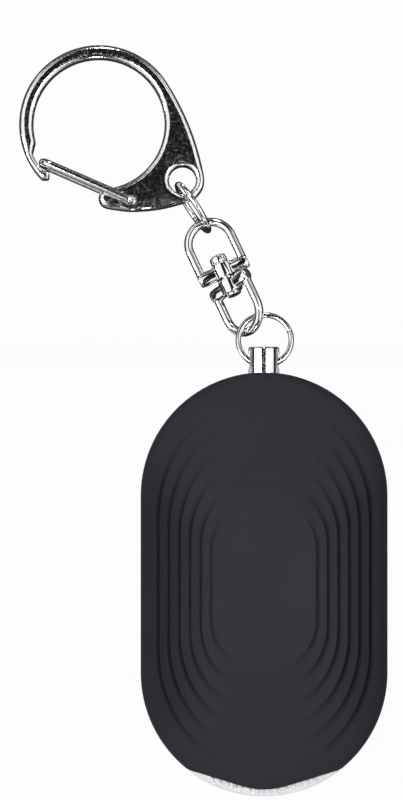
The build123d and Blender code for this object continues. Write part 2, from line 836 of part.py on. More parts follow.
# Swivel: two loops joined by a rivet along one axis, the lower one turned about it
heading = radians(swivel_heading)
dip = radians(swivel_dip)
axis = Vector(-sin(heading) * cos(dip), cos(heading) * cos(dip), -sin(dip))
across = Vector(cos(heading), sin(heading), 0)
outwards = across.cross(axis)
seat_turn = radians(loop_seat_angle)
loop_tip = ring_centre + (ring_right * cos(seat_turn) + ring_up * sin(seat_turn)) * (
    ring_radius - loop_seat_depth
)
lower_across = across * cos(radians(lower_turn)) + outwards * sin(radians(lower_turn))
lower_face = loop_tip + axis * (lower_length - loop_wire / 2)
upper_face = lower_face + axis * swivel_gap
lower_plane = Plane(origin=lower_face, x_dir=lower_across, z_dir=lower_across.cross(-axis))
upper_plane = Plane(origin=upper_face, x_dir=across, z_dir=outwards)


def swivel_half(plane, length, hole_radius):
    """Add one swivel half to the part being built: a bent loop on a crossbar with a drilled hub."""
    arc_height = length - loop_wire / 2 - loop_radius
    with BuildLine(plane) as path:
        Line((-loop_radius, 0), (-loop_radius, arc_height))
        ThreePointArc(
            (-loop_radius, arc_height), (0, arc_height + loop_radius), (loop_radius, arc_height)
        )
        Line((loop_radius, arc_height), (loop_radius, 0))
    end = Plane(
        origin=plane.from_local_coords(Vector(-loop_radius, 0, 0)),
        x_dir=plane.x_dir,
        z_dir=plane.y_dir,
    )
    with BuildSketch(end) as wire:
        Circle(loop_wire / 2)
    sweep(wire.sketch, path=path.wires()[0])
    with BuildSketch(plane) as bar:
        with Locations((0, crossbar_height / 2)):
            RectangleRounded(2 * loop_radius + loop_wire, crossbar_height, crossbar_round)
    extrude(bar.sketch, amount=crossbar_thickness / 2, both=True)
    hub_plane = Plane(origin=plane.origin, x_dir=plane.x_dir, z_dir=plane.y_dir)
    with BuildSketch(hub_plane) as hub:
        Circle(hub_diameter / 2)
    extrude(hub.sketch, amount=crossbar_height)
    with BuildSketch(hub_plane) as hole:
        Circle(hole_radius)
    extrude(hole.sketch, amount=crossbar_height, mode=Mode.SUBTRACT)


with BuildPart() as swivel_lower:
    swivel_half(lower_plane, lower_length, rivet_diameter / 2)
swivel_lower.part.label = "swivel_lower"
export_step(swivel_lower.part, "parts/swivel_lower.step")

with BuildPart() as swivel_upper:
    swivel_half(upper_plane, upper_length, rivet_diameter / 2 + rivet_gap)
swivel_upper.part.label = "swivel_upper"
export_step(swivel_upper.part, "parts/swivel_upper.step")

rivet_plane = Plane(origin=lower_face, x_dir=across, z_dir=axis)
with BuildPart() as swivel_rivet:
    shank_top = swivel_gap + crossbar_height + rivet_gap
    with BuildSketch(rivet_plane.offset(-crossbar_height - rivet_foot_height)):
        Circle(rivet_foot_diameter / 2)
    extrude(amount=rivet_foot_height)
    with BuildSketch(rivet_plane.offset(shank_top)):
        Circle(rivet_head_diameter / 2)
    extrude(amount=rivet_head_height)
    fillet(swivel_rivet.faces().sort_by(Axis(lower_face, axis))[-1].edges(), rivet_head_round)
    with BuildSketch(rivet_plane.offset(-crossbar_height)):
        Circle(rivet_diameter / 2)
    extrude(amount=crossbar_height + shank_top)
swivel_rivet.part.label = "swivel_rivet"
export_step(swivel_rivet.part, "parts/swivel_rivet.step")

# Link ring, standing on edge between the swivel and the hook's eyelet
link_along = Vector(-sin(radians(link_heading)), cos(radians(link_heading)), 0)
link_side = Vector(cos(radians(link_heading)), sin(radians(link_heading)), 0)
link_up = Vector(0, 0, cos(radians(link_lean))) + link_side * sin(radians(link_lean))
link_height = link_radius * cos(radians(link_lean)) + link_wire / 2 + link_lift
link_centre = Vector(link_centre_across, link_centre_along, link_height)
link_plane = Plane(origin=link_centre, x_dir=link_along, z_dir=link_along.cross(link_up))
with BuildPart() as link_ring:
    with Locations(link_plane):
        Torus(link_radius, link_wire / 2)
link_ring.part.label = "link_ring"
export_step(link_ring.part, "parts/link_ring.step")


def polar(radius, angle):
    """Point at a radius and an angle in degrees about the origin."""
    return Vector(radius * cos(radians(angle)), radius * sin(radians(angle)))


def arc_between(centre, radius, start, end, turn=1):
    """Arc about a centre from one point to another, counter-clockwise when turn is 1."""
    first = degrees(atan2(start.Y - centre.Y, start.X - centre.X))
    last = degrees(atan2(end.Y - centre.Y, end.X - centre.X))
    sweep_angle = (turn * (last - first)) % 360
    middle = centre + polar(radius, first + turn * sweep_angle / 2)
    return ThreePointArc(start, middle, end)


def hugging_centre(centre_a, radius_a, centre_b, radius_b, radius):
    """Centre of the large circle that holds two circles and touches both, clockwise of a to b."""
    reach_a = radius - radius_a
    reach_b = radius - radius_b
    gap = centre_b - centre_a
    along = (reach_a**2 - reach_b**2 + gap.length**2) / (2 * gap.length)
    aside = sqrt(reach_a**2 - along**2)
    direction = gap.normalized()
    return centre_a + direction * along + Vector(direction.Y, -direction.X) * aside


def touch(centre, radius, large_centre):
    """Point where a circle touches the large circle that holds it."""
    return centre + (centre - large_centre).normalized() * radius


# Snap hook: a plate with a round mouth, an eyelet lobe, a tail and a notched nose
hook_up = Vector(0, cos(radians(hook_tilt)), -sin(radians(hook_tilt)))
hook_normal = Vector(0, sin(radians(hook_tilt)), cos(radians(hook_tilt)))
hook_height = (
    hook_outer_radius * sin(radians(hook_tilt))
    + hook_thickness / 2 * cos(radians(hook_tilt))
    + hook_lift
)
hook_plane = Plane(
    origin=(hook_across, hook_along, hook_height), x_dir=(1, 0, 0), z_dir=hook_normal
)
mouth = Vector(0, 0)
eyelet = Vector(eyelet_across, eyelet_along)
tail = polar(hook_inner_radius + tail_radius, tail_angle)
side_centre = hugging_centre(mouth, hook_outer_radius, eyelet, lobe_radius, hook_side_radius)
foot_centre = hugging_centre(eyelet, lobe_radius, tail, tail_radius, hook_foot_radius)
side_start = touch(mouth, hook_outer_radius, side_centre)
side_end = touch(eyelet, lobe_radius, side_centre)
foot_start = touch(eyelet, lobe_radius, foot_centre)
foot_end = touch(tail, tail_radius, foot_centre)
tail_end = polar(hook_inner_radius, tail_angle)
with BuildPart() as snap_hook:
    with BuildSketch(hook_plane):
        with BuildLine():
            nose_tip = polar(hook_outer_radius, nose_angle)
            toe = polar(toe_radius, toe_angle)
            arc_between(mouth, hook_outer_radius, side_start, nose_tip)
            ThreePointArc(nose_tip, polar((hook_outer_radius + toe_radius) / 2, nose_bulge_angle), toe)
            Line(toe, polar(notch_radius, notch_start_angle))
            arc_between(
                mouth,
                notch_radius,
                polar(notch_radius, notch_start_angle),
                polar(notch_radius, notch_end_angle),
                turn=-1,
            )
            Line(polar(notch_radius, notch_end_angle), polar(hook_inner_radius, notch_run_angle))
            arc_between(
                mouth, hook_inner_radius, polar(hook_inner_radius, notch_run_angle), tail_end, turn=-1
            )
            arc_between(tail, tail_radius, tail_end, foot_end)
            arc_between(foot_centre, hook_foot_radius, foot_end, foot_start)
            arc_between(eyelet, lobe_radius, foot_start, side_end)
            arc_between(side_centre, hook_side_radius, side_end, side_start)
        make_face()
    extrude(amount=hook_thickness / 2, both=True)
    # The chamfer follows the arcs that touch the outer ones, so the outer ones are enough
    rims = snap_hook.faces().filter_by(hook_plane).edges().filter_by(GeomType.CIRCLE)
    outer_rims = rims.filter_by(lambda edge: edge.radius > hook_inner_radius + hook_band / 2)
    chamfer(outer_rims, hook_edge_chamfer)
    with BuildSketch(hook_plane):
        with Locations(eyelet):
            Circle(eyelet_radius)
    extrude(amount=hook_thickness, both=True, mode=Mode.SUBTRACT)
    with BuildSketch(hook_plane):
        with Locations((gate_pivot_across, gate_pivot_along)):
            Circle(gate_wire / 2 + gate_gap)
    extrude(amount=hook_thickness, both=True, mode=Mode.SUBTRACT)
snap_hook.part.label = "snap_hook"
export_step(snap_hook.part, "parts/snap_hook.step")

# Gate: one bent wire, its ends sprung into the pivot hole from both faces of the hook
leg_height = hook_thickness / 2 + gate_gap + gate_wire / 2
gate_end = polar(gate_end_radius, gate_end_angle)
gate_points = [
    (gate_pivot_across, gate_pivot_along, gate_stub_gap / 2),
    (gate_pivot_across, gate_pivot_along, leg_height),
    (gate_end.X, gate_end.Y, leg_height),
    (gate_end.X, gate_end.Y, -leg_height),
    (gate_pivot_across, gate_pivot_along, -leg_height),
    (gate_pivot_across, gate_pivot_along, -gate_stub_gap / 2),
]
with BuildPart() as hook_gate:
    with BuildLine() as gate_path:
        FilletPolyline(
            [hook_plane.from_local_coords(Vector(*point)) for point in gate_points],
            radius=[gate_pivot_bend, gate_bend, gate_bend, gate_pivot_bend],
        )
    with BuildSketch(Plane(origin=gate_path.line @ 0, z_dir=gate_path.line % 0)):
        Circle(gate_wire / 2)
    sweep(path=gate_path.line)
hook_gate.part.label = "hook_gate"
export_step(hook_gate.part, "parts/hook_gate.step")
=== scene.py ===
# %% [markdown]
# This lesson dresses a personal alarm: a palm-sized siren with a torch, whose pin hangs on a
# swivel chain with a snap hook. The solid model comes first, as a fixed frame in metres. Every
# piece made here lies where that frame says, so nothing has to be fitted by eye.

import json
from math import atan2, cos, pi, radians, sin, sqrt

import bmesh
import bpy
from mathutils import Matrix, Vector
from mathutils.kdtree import KDTree


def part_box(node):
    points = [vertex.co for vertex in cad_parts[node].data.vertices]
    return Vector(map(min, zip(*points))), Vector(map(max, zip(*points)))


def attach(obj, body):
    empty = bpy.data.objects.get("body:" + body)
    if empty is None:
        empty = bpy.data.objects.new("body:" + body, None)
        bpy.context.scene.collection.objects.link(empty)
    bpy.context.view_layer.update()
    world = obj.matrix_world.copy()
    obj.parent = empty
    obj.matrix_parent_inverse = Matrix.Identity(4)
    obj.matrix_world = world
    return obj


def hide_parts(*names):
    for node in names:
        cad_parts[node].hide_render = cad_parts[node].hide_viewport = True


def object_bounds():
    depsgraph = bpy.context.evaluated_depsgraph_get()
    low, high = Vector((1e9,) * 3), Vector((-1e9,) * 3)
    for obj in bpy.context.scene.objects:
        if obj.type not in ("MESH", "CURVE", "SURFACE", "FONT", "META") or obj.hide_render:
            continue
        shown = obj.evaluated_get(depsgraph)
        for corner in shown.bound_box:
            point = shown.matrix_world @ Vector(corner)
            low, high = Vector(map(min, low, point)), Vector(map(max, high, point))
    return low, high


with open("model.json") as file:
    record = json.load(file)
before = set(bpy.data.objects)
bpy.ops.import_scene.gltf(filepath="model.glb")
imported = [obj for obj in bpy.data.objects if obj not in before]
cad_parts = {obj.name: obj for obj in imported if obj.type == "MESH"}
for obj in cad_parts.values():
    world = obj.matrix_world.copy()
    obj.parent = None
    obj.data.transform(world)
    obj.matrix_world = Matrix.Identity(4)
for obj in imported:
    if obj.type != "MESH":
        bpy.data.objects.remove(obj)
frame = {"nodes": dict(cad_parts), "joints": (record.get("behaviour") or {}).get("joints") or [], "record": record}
cad_low, cad_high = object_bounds()
nodes = frame["nodes"]
joints = {joint["name"]: joint for joint in frame["joints"]}
mounts = {mount["name"]: mount for mount in frame["record"]["mounts"]}
node_slots = {entry["node"]: entry["material_slot"] for entry in frame["record"]["subparts"]}
mm = 0.001
print("frame loaded, nodes:", len(nodes), "joints:", len(joints))

# %% [markdown]
# Materials are built from nodes. They could be wired by hand in the node editor, but written as
# Python sums they stay readable. A small class wraps one number socket and lets it take part in
# sums. Colours never pass through it, because a Math node turns a colour grey: they go through
# a Mix node.

# %% A socket that takes part in sums


def feed(tree, place, term):
    """Link a value into a socket, or set the socket to a plain number or colour."""
    if isinstance(term, Value):
        tree.links.new(term.socket, place)
    else:
        place.default_value = term


class Value:
    """An output socket that takes part in ordinary sums."""

    def __init__(self, tree, socket):
        self.tree = tree
        self.socket = socket

    def maths(self, operation, *terms):
        node = self.tree.nodes.new("ShaderNodeMath")
        node.operation = operation
        for place, term in zip(node.inputs, terms):
            feed(self.tree, place, term)
        return Value(self.tree, node.outputs[0])

    def __add__(self, other):
        return self.maths("ADD", self, other)

    def __sub__(self, other):
        return self.maths("SUBTRACT", self, other)

    def __rsub__(self, other):
        return self.maths("SUBTRACT", other, self)

    def __mul__(self, other):
        return self.maths("MULTIPLY", self, other)

    __radd__ = __add__
    __rmul__ = __mul__


# %% [markdown]
# A recipe is one node tree under construction. Its node method takes a node's type, its settings
# and what goes into its sockets, so every node is made in one way. A finish is the recipe of a
# material. The place of a point on a piece comes from object coordinates, which are metres in
# the frame, so a noise scale of 1000 gives grains about a millimetre wide.

# %% A material under construction


class Recipe:
    """A node tree, built by adding nodes."""

    def __init__(self, tree):
        self.tree = tree
        self.tree.nodes.clear()

    def node(self, kind, settings=None, sockets=None, output=0):
        """Add a node, set it, fill its sockets and hand back one output."""
        node = self.tree.nodes.new(kind)
        for name, setting in (settings or {}).items():
            setattr(node, name, setting)
        for name, term in (sockets or {}).items():
            feed(self.tree, node.inputs[name], term)
        return Value(self.tree, node.outputs[output]) if node.outputs else None

    def rays(self, *kinds):
        """One value for each kind of ray, which is 1 where such a ray looks."""
        return [self.node("ShaderNodeLightPath", output=f"Is {kind} Ray") for kind in kinds]


class Finish(Recipe):
    """The recipe of a material, closed by a surface."""

    def __init__(self, name):
        self.material = bpy.data.materials.new(name)
        self.material.use_nodes = True
        super().__init__(self.material.node_tree)
        self.place = self.node("ShaderNodeTexCoord", output="Object")

    def noise(self, scale, detail=2.0, stretch=None):
        """Noise between 0 and 1 over the piece, stretched along an axis if asked."""
        place = self.place
        if stretch:
            sizes = {"Vector": self.place, "Scale": stretch}
            place = self.node("ShaderNodeMapping", sockets=sizes)
        return self.node(
            "ShaderNodeTexNoise", sockets={"Vector": place, "Scale": scale, "Detail": detail}
        )

    def contrast(self, mask, low, high):
        """Spread the part of a mask between two levels over 0 to 1."""
        return self.node(
            "ShaderNodeMapRange", sockets={0: mask, 1: low, 2: high, 3: 0.0, 4: 1.0}
        )

    def blend(self, mask, first, second):
        """Mix two colours by a mask."""
        return self.node(
            "ShaderNodeMix", {"data_type": "RGBA"}, {0: mask, 6: first, 7: second}, output=2
        )

    def bump(self, height, strength, distance):
        """Turn a height into a disturbed normal. The distance is in metres."""
        return self.node(
            "ShaderNodeBump", sockets={"Height": height, "Strength": strength, "Distance": distance}
        )

    def surface(self, sockets):
        """Close the material with the general surface shader."""
        shader = self.node("ShaderNodeBsdfPrincipled", sockets=sockets)
        self.node("ShaderNodeOutputMaterial", sockets={"Surface": shader})
        return self.material


def shade(red, green, blue):
    """A colour in linear light, with nothing see-through."""
    return (red, green, blue, 1.0)


finishes = {}

# %% [markdown]
# The housing is moulded plastic under a soft-touch coat: nearly black with a cold tint, and matt
# enough to spread a highlight over a whole step. One flat colour would look like paint, so a
# fine grain and a slow drift vary its colour and its roughness. Little light gets down between
# the steps, and the outer steps catch less light, so that shade is painted into the coat's colour:
# the skin over the steps carries a mask of painted shade, which darkens the coat in the grooves
# and on the outer steps. Pieces without such a mask read it as nought and keep the plain coat.

# %% Soft-touch housing coat
# painted shade: the near-black colour that the mask darkens the coat towards
painted_shade_black = shade(0.004, 0.004, 0.005)
painted_shade_share = 0.9


def soft_touch_coat(name, dark, light, grain):
    finish = Finish(name)
    drift = finish.noise(scale=140.0, detail=3.0)
    speck = finish.noise(scale=7000.0, detail=2.0)
    handled = finish.contrast(finish.noise(scale=60.0, detail=4.0), low=0.42, high=0.72)
    # the mask of painted shade that the skin carries; nought on every other piece
    painted_shade = finish.node("ShaderNodeAttribute", {"attribute_name": "painted_shade"}, output="Fac")
    flat = finish.blend(0.6 * drift + 0.4 * speck, dark, light)
    return finish.surface(
        {
            "Base Color": finish.blend(painted_shade_share * painted_shade, flat, painted_shade_black),
            "Roughness": 0.55 + 0.1 * speck - 0.06 * handled,
            "Specular IOR Level": 0.08,
            "Normal": finish.bump(speck, grain, distance=0.02 * mm),
        }
    )


finishes["shell_charcoal"] = soft_touch_coat(
    "soft touch coat", shade(0.026, 0.027, 0.034), shade(0.034, 0.035, 0.043), grain=0.16
)
print("coat nodes:", len(finishes["shell_charcoal"].node_tree.nodes))

# %% [markdown]
# Plated metal is all reflection. Its colour says which metal lies on top, and the fine unevenness
# of a barrel-polished small part shows as soft wandering in the reflections. A perfect mirror
# would look unreal, so clouds vary the colour, and pits and hairs the roughness and the normal.
# One recipe gives the polished cap, the bright nickel of the rings, the dark nickel of the hook
# and the plain steel of springs and screws.

# %% Plated metal
nickel_dark = shade(0.91, 0.90, 0.885)
nickel_light = shade(0.97, 0.965, 0.955)


def plated_metal(name, dark, light, smooth, uneven, dimple, pit_scale=900.0):
    finish = Finish(name)
    cloud = finish.noise(scale=420.0, detail=4.0)
    pits = finish.noise(pit_scale, detail=3.0)
    hairs = finish.noise(scale=2600.0, detail=2.0, stretch=(1.0, 0.12, 1.0))
    dull = finish.contrast(pits, low=0.4, high=0.68)
    return finish.surface(
        {
            "Base Color": finish.blend(finish.contrast(cloud, low=0.3, high=0.7), dark, light),
            "Metallic": 1.0,
            "Roughness": smooth + uneven * dull + 0.3 * uneven * hairs,
            "Normal": finish.bump(0.7 * pits + 0.3 * hairs, dimple, distance=0.05 * mm),
        }
    )


finishes["cap_chrome"] = plated_metal(
    "polished cap",
    shade(0.93, 0.925, 0.92),
    shade(0.97, 0.97, 0.965),
    smooth=0.04,
    uneven=0.05,
    dimple=0.03,
)
finishes["ring_nickel"] = plated_metal(
    "bright nickel", nickel_dark, nickel_light, smooth=0.05, uneven=0.05, dimple=0.06
)
finishes["hook_gunmetal"] = plated_metal(
    "dark nickel",
    shade(0.86, 0.84, 0.82),
    shade(0.94, 0.93, 0.915),
    smooth=0.035,
    uneven=0.12,
    dimple=0.68,
    pit_scale=2300.0,
)
finishes["cell_steel"] = plated_metal(
    "cell steel", shade(0.6, 0.6, 0.6), nickel_light, smooth=0.2, uneven=0.12, dimple=0.1
)
finishes["contact_nickel"] = plated_metal(
    "spring strip", nickel_dark, nickel_light, smooth=0.22, uneven=0.1, dimple=0.1
)
finishes["screw_steel"] = plated_metal(
    "zinc screw",
    shade(0.3, 0.3, 0.31),
    shade(0.45, 0.45, 0.46),
    smooth=0.28,
    uneven=0.14,
    dimple=0.2,
)
print("finishes so far:", len(finishes))

# %% [markdown]
# The torch window is clear plastic with rows of small beads that spread the light. It looks
# whitish, because each bead bends a different bit of the surroundings. Fully clear plastic would
# show the dark inside, so here only a little light passes and the rest comes back white. The
# lamps inside are cast from a clearer resin by the same recipe.

# %% Clear plastics


def clear_plastic(name, tint, roughness, passing):
    finish = Finish(name)
    haze = finish.noise(scale=500.0, detail=3.0)
    veil = finish.contrast(haze, low=0.3, high=0.75)
    return finish.surface(
        {
            "Base Color": finish.blend(veil, tint, shade(1.0, 1.0, 1.0)),
            "Roughness": roughness + 0.08 * haze,
            "Transmission Weight": passing,
            "IOR": 1.49,
            "Normal": finish.bump(haze, strength=0.12, distance=0.04 * mm),
        }
    )


finishes["lens_clear"] = clear_plastic(
    "beaded lens", shade(0.95, 0.965, 0.99), roughness=0.12, passing=0.12
)
finishes["lamp_epoxy"] = clear_plastic(
    "lamp epoxy", shade(0.95, 0.94, 0.82), roughness=0.05, passing=0.6
)
print("finishes so far:", len(finishes))

# %% [markdown]
# The button, the pin and most of the pieces inside are moulded, sleeved or pressed from powder.
# They differ in colour and gloss more than in kind, so one recipe with a fine speck and a slow
# flow serves them all, and a table gives each its two colours and its roughness.

# %% Moulded plastics and ceramics


def moulded_plastic(name, dark, light, roughness, grain=0.1):
    finish = Finish(name)
    speck = finish.noise(scale=5200.0, detail=2.0)
    flow = finish.noise(scale=260.0, detail=3.0, stretch=(1.0, 0.3, 1.0))
    return finish.surface(
        {
            "Base Color": finish.blend(0.5 * speck + 0.5 * flow, dark, light),
            "Roughness": roughness + 0.12 * speck,
            "Normal": finish.bump(speck, grain, distance=0.02 * mm),
        }
    )


mouldings = {
    "button_black": ("button rubber", shade(0.012, 0.012, 0.014), shade(0.022, 0.022, 0.024), 0.5),
    "switch_black": ("switch body", shade(0.02, 0.02, 0.02), shade(0.04, 0.04, 0.04), 0.35),
    "inner_plastic": ("inner moulding", shade(0.06, 0.06, 0.065), shade(0.1, 0.1, 0.105), 0.5),
    "ceramic_grey": ("silvered ceramic", shade(0.62, 0.6, 0.55), shade(0.78, 0.76, 0.7), 0.4),
    "lead_wire": ("wire sleeve", shade(0.42, 0.04, 0.03), shade(0.58, 0.07, 0.05), 0.4),
    "coil_ferrite": ("ferrite", shade(0.09, 0.075, 0.065), shade(0.16, 0.13, 0.11), 0.55, 0.3),
    "chip_epoxy": ("chip epoxy", shade(0.02, 0.02, 0.02), shade(0.045, 0.045, 0.045), 0.6),
    "pin_plastic": ("pin moulding", shade(0.03, 0.03, 0.033), shade(0.055, 0.055, 0.06), 0.3),
}
for slot, moulding in mouldings.items():
    finishes[slot] = moulded_plastic(*moulding)
print("finishes so far:", len(finishes))

# %% [markdown]
# The circuit board is green, with faint copper tracks under its mask. A brick pattern stands for
# the tracks, because at this size they only have to read as short straight runs. The siren's disc
# is rolled brass, so its marks all run one way and it is stained in patches.

# %% Board and siren disc


def solder_mask(name):
    finish = Finish(name)
    tracks = finish.node(
        "ShaderNodeTexBrick",
        {"offset": 0.5},
        {
            "Vector": finish.place,
            "Scale": 260.0,
            "Mortar Size": 0.06,
            "Color1": shade(0.02, 0.13, 0.05),
            "Color2": shade(0.03, 0.17, 0.06),
            "Mortar": shade(0.08, 0.27, 0.09),
        },
    )
    weave = finish.noise(scale=1500.0)
    return finish.surface(
        {
            "Base Color": tracks,
            "Roughness": 0.26 + 0.1 * weave,
            "Coat Weight": 0.4,
            "Normal": finish.bump(weave, strength=0.1, distance=0.03 * mm),
        }
    )


def rolled_brass(name):
    finish = Finish(name)
    marks = finish.noise(scale=900.0, detail=3.0, stretch=(1.0, 0.06, 1.0))
    stain = finish.contrast(finish.noise(scale=150.0, detail=3.0), low=0.45, high=0.7)
    return finish.surface(
        {
            "Base Color": finish.blend(stain, shade(0.80, 0.60, 0.27), shade(0.55, 0.38, 0.16)),
            "Metallic": 1.0,
            "Roughness": 0.24 + 0.14 * marks,
            "Normal": finish.bump(marks, strength=0.1, distance=0.02 * mm),
        }
    )


finishes["board_green"] = solder_mask("solder mask")
finishes["brass_disc"] = rolled_brass("rolled brass")
print("finishes made:", len(finishes))

# %% [markdown]
# Most pieces need no new shape, and are carried over from the solid model as they are. Each has
# a slot that says what it is made of, and takes the finish of that slot.

# %% Give each of the frame's nodes its finish
for name, node in nodes.items():
    node.data.materials.clear()
    node.data.materials.append(finishes[node_slots[name]])
print("nodes with a finish:", len(nodes))

# %% [markdown]
# Wire is the heart of the chain. It could be a curve with a round bevel, but a mesh made here
# gives full say over its ends. A wire piece is a round section carried along a path, and a frame
# carried along with it keeps the section from twisting. Its rows lie close together, because
# polished metal shows every facet of a coarse one.

# %% Make meshes into pieces
wire_sides = 28


def keep_piece(name, forms, slot, body, *stands_for):
    """Make forms into a piece that rides on a body and stands for frame nodes."""
    bmesh.ops.recalc_face_normals(forms, faces=forms.faces)
    mesh = bpy.data.meshes.new(name)
    forms.to_mesh(mesh)
    forms.free()
    piece = bpy.data.objects.new(name, mesh)
    bpy.context.scene.collection.objects.link(piece)
    mesh.materials.append(finishes[slot])
    for face in mesh.polygons:
        face.use_smooth = True
    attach(piece, body)
    if stands_for:
        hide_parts(*stands_for)
    print(name, "faces:", len(mesh.polygons))
    return piece


def round_points(centre, first, second, radius, angles):
    """Points round a centre, at angles counted from the first direction to the second."""
    return [centre + radius * (cos(angle) * first + sin(angle) * second) for angle in angles]


def full_turn(sides):
    """Even angles once round, without the last one, which is the first again."""
    return [2 * pi * side / sides for side in range(sides)]


def quarter_turn(steps):
    """Even angles from nought to a right angle."""
    return [pi / 2 * step / steps for step in range(steps + 1)]


def join_rows(forms, here, there):
    """Add the faces between two rings of points."""
    for side in range(len(here)):
        following = (side + 1) % len(here)
        forms.faces.new((here[side], here[following], there[following], there[side]))


def closed_tube(forms, rows):
    """Join the rings of a tube and close both its ends."""
    for here, there in zip(rows, rows[1:]):
        join_rows(forms, here, there)
    forms.faces.new(reversed(rows[0]))
    forms.faces.new(rows[-1])


def sweep_wire(forms, path, radius):
    """Add a round wire along a path of points."""
    heading = (path[1] - path[0]).normalized()
    side = heading.orthogonal().normalized()
    rows = []
    for place, point in enumerate(path):
        before = path[max(place - 1, 0)]
        after = path[min(place + 1, len(path) - 1)]
        new_heading = (after - before).normalized()
        side = heading.rotation_difference(new_heading) @ side
        heading = new_heading
        section = round_points(point, side, heading.cross(side), radius, full_turn(wire_sides))
        rows.append([forms.verts.new(corner) for corner in section])
    closed_tube(forms, rows)


# %% [markdown]
# A jump ring is one turn of wire whose cut ends are pushed together. A torus would be simpler,
# but the ends never meet quite perfectly, so each ring here is an open turn with a hair's gap.

# %% Jump rings
jump_gap = 0.05 * mm
jump_steps = 120


def jump_ring(name, centre, normal, first, radius, wire, gap_at, body, node):
    """Make one turn of wire whose ends nearly meet, with the gap at an angle from first."""
    start = gap_at + jump_gap / radius / 2
    turn = 2 * pi - jump_gap / radius
    angles = [start + turn * step / jump_steps for step in range(jump_steps + 1)]
    forms = bmesh.new()
    sweep_wire(forms, round_points(centre, first, normal.cross(first), radius, angles), wire / 2)
    keep_piece(name, forms, "ring_nickel", body, node)


pin_ring_radius = 4.0 * mm
pin_ring_wire = 0.85 * mm
pin_ring_gap_at = radians(20)
loop_run = joints["loop_run"]
jump_ring(
    "pin_ring_wire",
    Vector(loop_run["pos_m"]),
    Vector(loop_run["axis"]).normalized(),
    Vector((1, 0, 0)),
    pin_ring_radius,
    pin_ring_wire,
    pin_ring_gap_at,
    "ring",
    "pin_ring",
)
link_radius = 4.15 * mm
link_wire = 0.9 * mm
link_gap_at = radians(250)
link_heading = radians(33.5)
link_low, link_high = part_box("link_ring")
jump_ring(
    "link_ring_wire",
    (link_low + link_high) / 2,
    Vector(joints["link_swing"]["axis"]).normalized(),
    Vector((-sin(link_heading), cos(link_heading), 0)),
    link_radius,
    link_wire,
    link_gap_at,
    "link",
    "link_ring",
)

# %% [markdown]
# The swivel is two bent loops held nose to nose by one rivet, and the lower one is turned about
# it. Each loop is a wire that goes up one leg, round the bend and down the other. Its legs start
# a little inside the crossbar, where no seam shows.

# %% Loops of the swivel
loop_radius = 3.4 * mm
loop_wire = 1.3 * mm
leg_start = 0.3 * loop_wire
lower_length = 9.35 * mm
upper_length = 9.85 * mm
lower_turn = radians(40)
swivel_gap = 0.3 * mm
swivel_heading = radians(25)
swivel = joints["swivel_turn"]
swivel_axis = Vector(swivel["axis"]).normalized()
upper_face = Vector(swivel["pos_m"])
lower_face = upper_face - swivel_gap * swivel_axis
upper_across = Vector((cos(swivel_heading), sin(swivel_heading), 0))
upper_outwards = upper_across.cross(swivel_axis)
lower_across = upper_across * cos(lower_turn) + upper_outwards * sin(lower_turn)
bend_steps = 40
leg_steps = 8


def stretched_loop(origin, across, along, length):
    """Path of a loop: up one leg, round the bend and down the other."""
    bend_height = length - loop_wire / 2 - loop_radius
    bend = [
        origin
        + along * (bend_height + loop_radius * sin(pi * step / bend_steps))
        - across * (loop_radius * cos(pi * step / bend_steps))
        for step in range(bend_steps + 1)
    ]
    heights = [step / leg_steps * bend_height for step in range(leg_steps)]
    first_leg = [origin - across * loop_radius + along * height for height in heights]
    last_leg = [origin + across * loop_radius + along * height for height in heights]
    return first_leg + bend + last_leg[::-1]


print("swivel heading:", [round(part, 3) for part in swivel_axis])

# %% [markdown]
# The crossbar is a cast block with a turned hub round the rivet. Its soft edges matter more than
# its faces, because they carry the bright lines. A block with bevelled edges would show hard
# bands, so it is lofted out of superellipse sections, drawn in at both ends and at the waist.

# %% Crossbars
crossbar_height = 2.2 * mm
crossbar_thickness = 1.9 * mm
crossbar_half_span = loop_radius + loop_wire / 2
bar_stations = 36
bar_sides = 40
section_squareness = 2.2
end_squareness = 9
waist_depth = 0.10
waist_spread = 1.6
merge_distance = 0.001 * mm


def loft_bar(forms, origin, across, along, outwards):
    """Add the rounded crossbar as squarish sections across."""
    rows = []
    for station in range(bar_stations + 1):
        share = -cos(pi * station / bar_stations)
        drawn_in = (1 - min(1.0, abs(share)) ** end_squareness) ** (1 / end_squareness)
        waist = 1 - waist_depth * (1 - min(1.0, abs(share) * waist_spread) ** 2)
        row = []
        for turn in full_turn(bar_sides):
            corner = abs(cos(turn)) ** section_squareness + abs(sin(turn)) ** section_squareness
            size = drawn_in * waist * corner ** (-1 / section_squareness)
            up = crossbar_height / 2 * (1 + size * cos(turn))
            out = crossbar_thickness / 2 * size * sin(turn)
            middle = origin + across * crossbar_half_span * share
            row.append(forms.verts.new(middle + along * up + outwards * out))
        rows.append(row)
    for here, there in zip(rows, rows[1:]):
        join_rows(forms, here, there)
    bmesh.ops.remove_doubles(forms, verts=rows[0] + rows[-1], dist=merge_distance)


print("crossbar across:", round(2 * crossbar_half_span / mm, 2), "mm")

# %% [markdown]
# Hubs and rivet are turned on a lathe. The screw modifier would spin a profile too, but here the
# profile is spun straight into the forms of the piece that it belongs to, with its rims rounded.

# %% Turned forms and the swivel's halves
hub_radius = 1.6 * mm
hub_edge = 0.16 * mm
turned_sides = 56
edge_turns = quarter_turn(steps=6)


def turn_profile(forms, origin, along, across, profile):
    """Add a turned form: a profile of (radius, height) pairs spun about an axis."""
    rows = []
    for radius, height in profile:
        centre = origin + along * height
        ring = round_points(centre, across, along.cross(across), radius, full_turn(turned_sides))
        rows.append([forms.verts.new(corner) for corner in ring])
    closed_tube(forms, rows)


def rounded_turning(radius, low, high, edge):
    """Profile of a turned barrel with both rims rounded over."""
    core = radius - edge
    lower = [(core + edge * sin(turn), low + edge - edge * cos(turn)) for turn in edge_turns]
    upper = [(core + edge * cos(turn), high - edge + edge * sin(turn)) for turn in edge_turns]
    return lower + upper


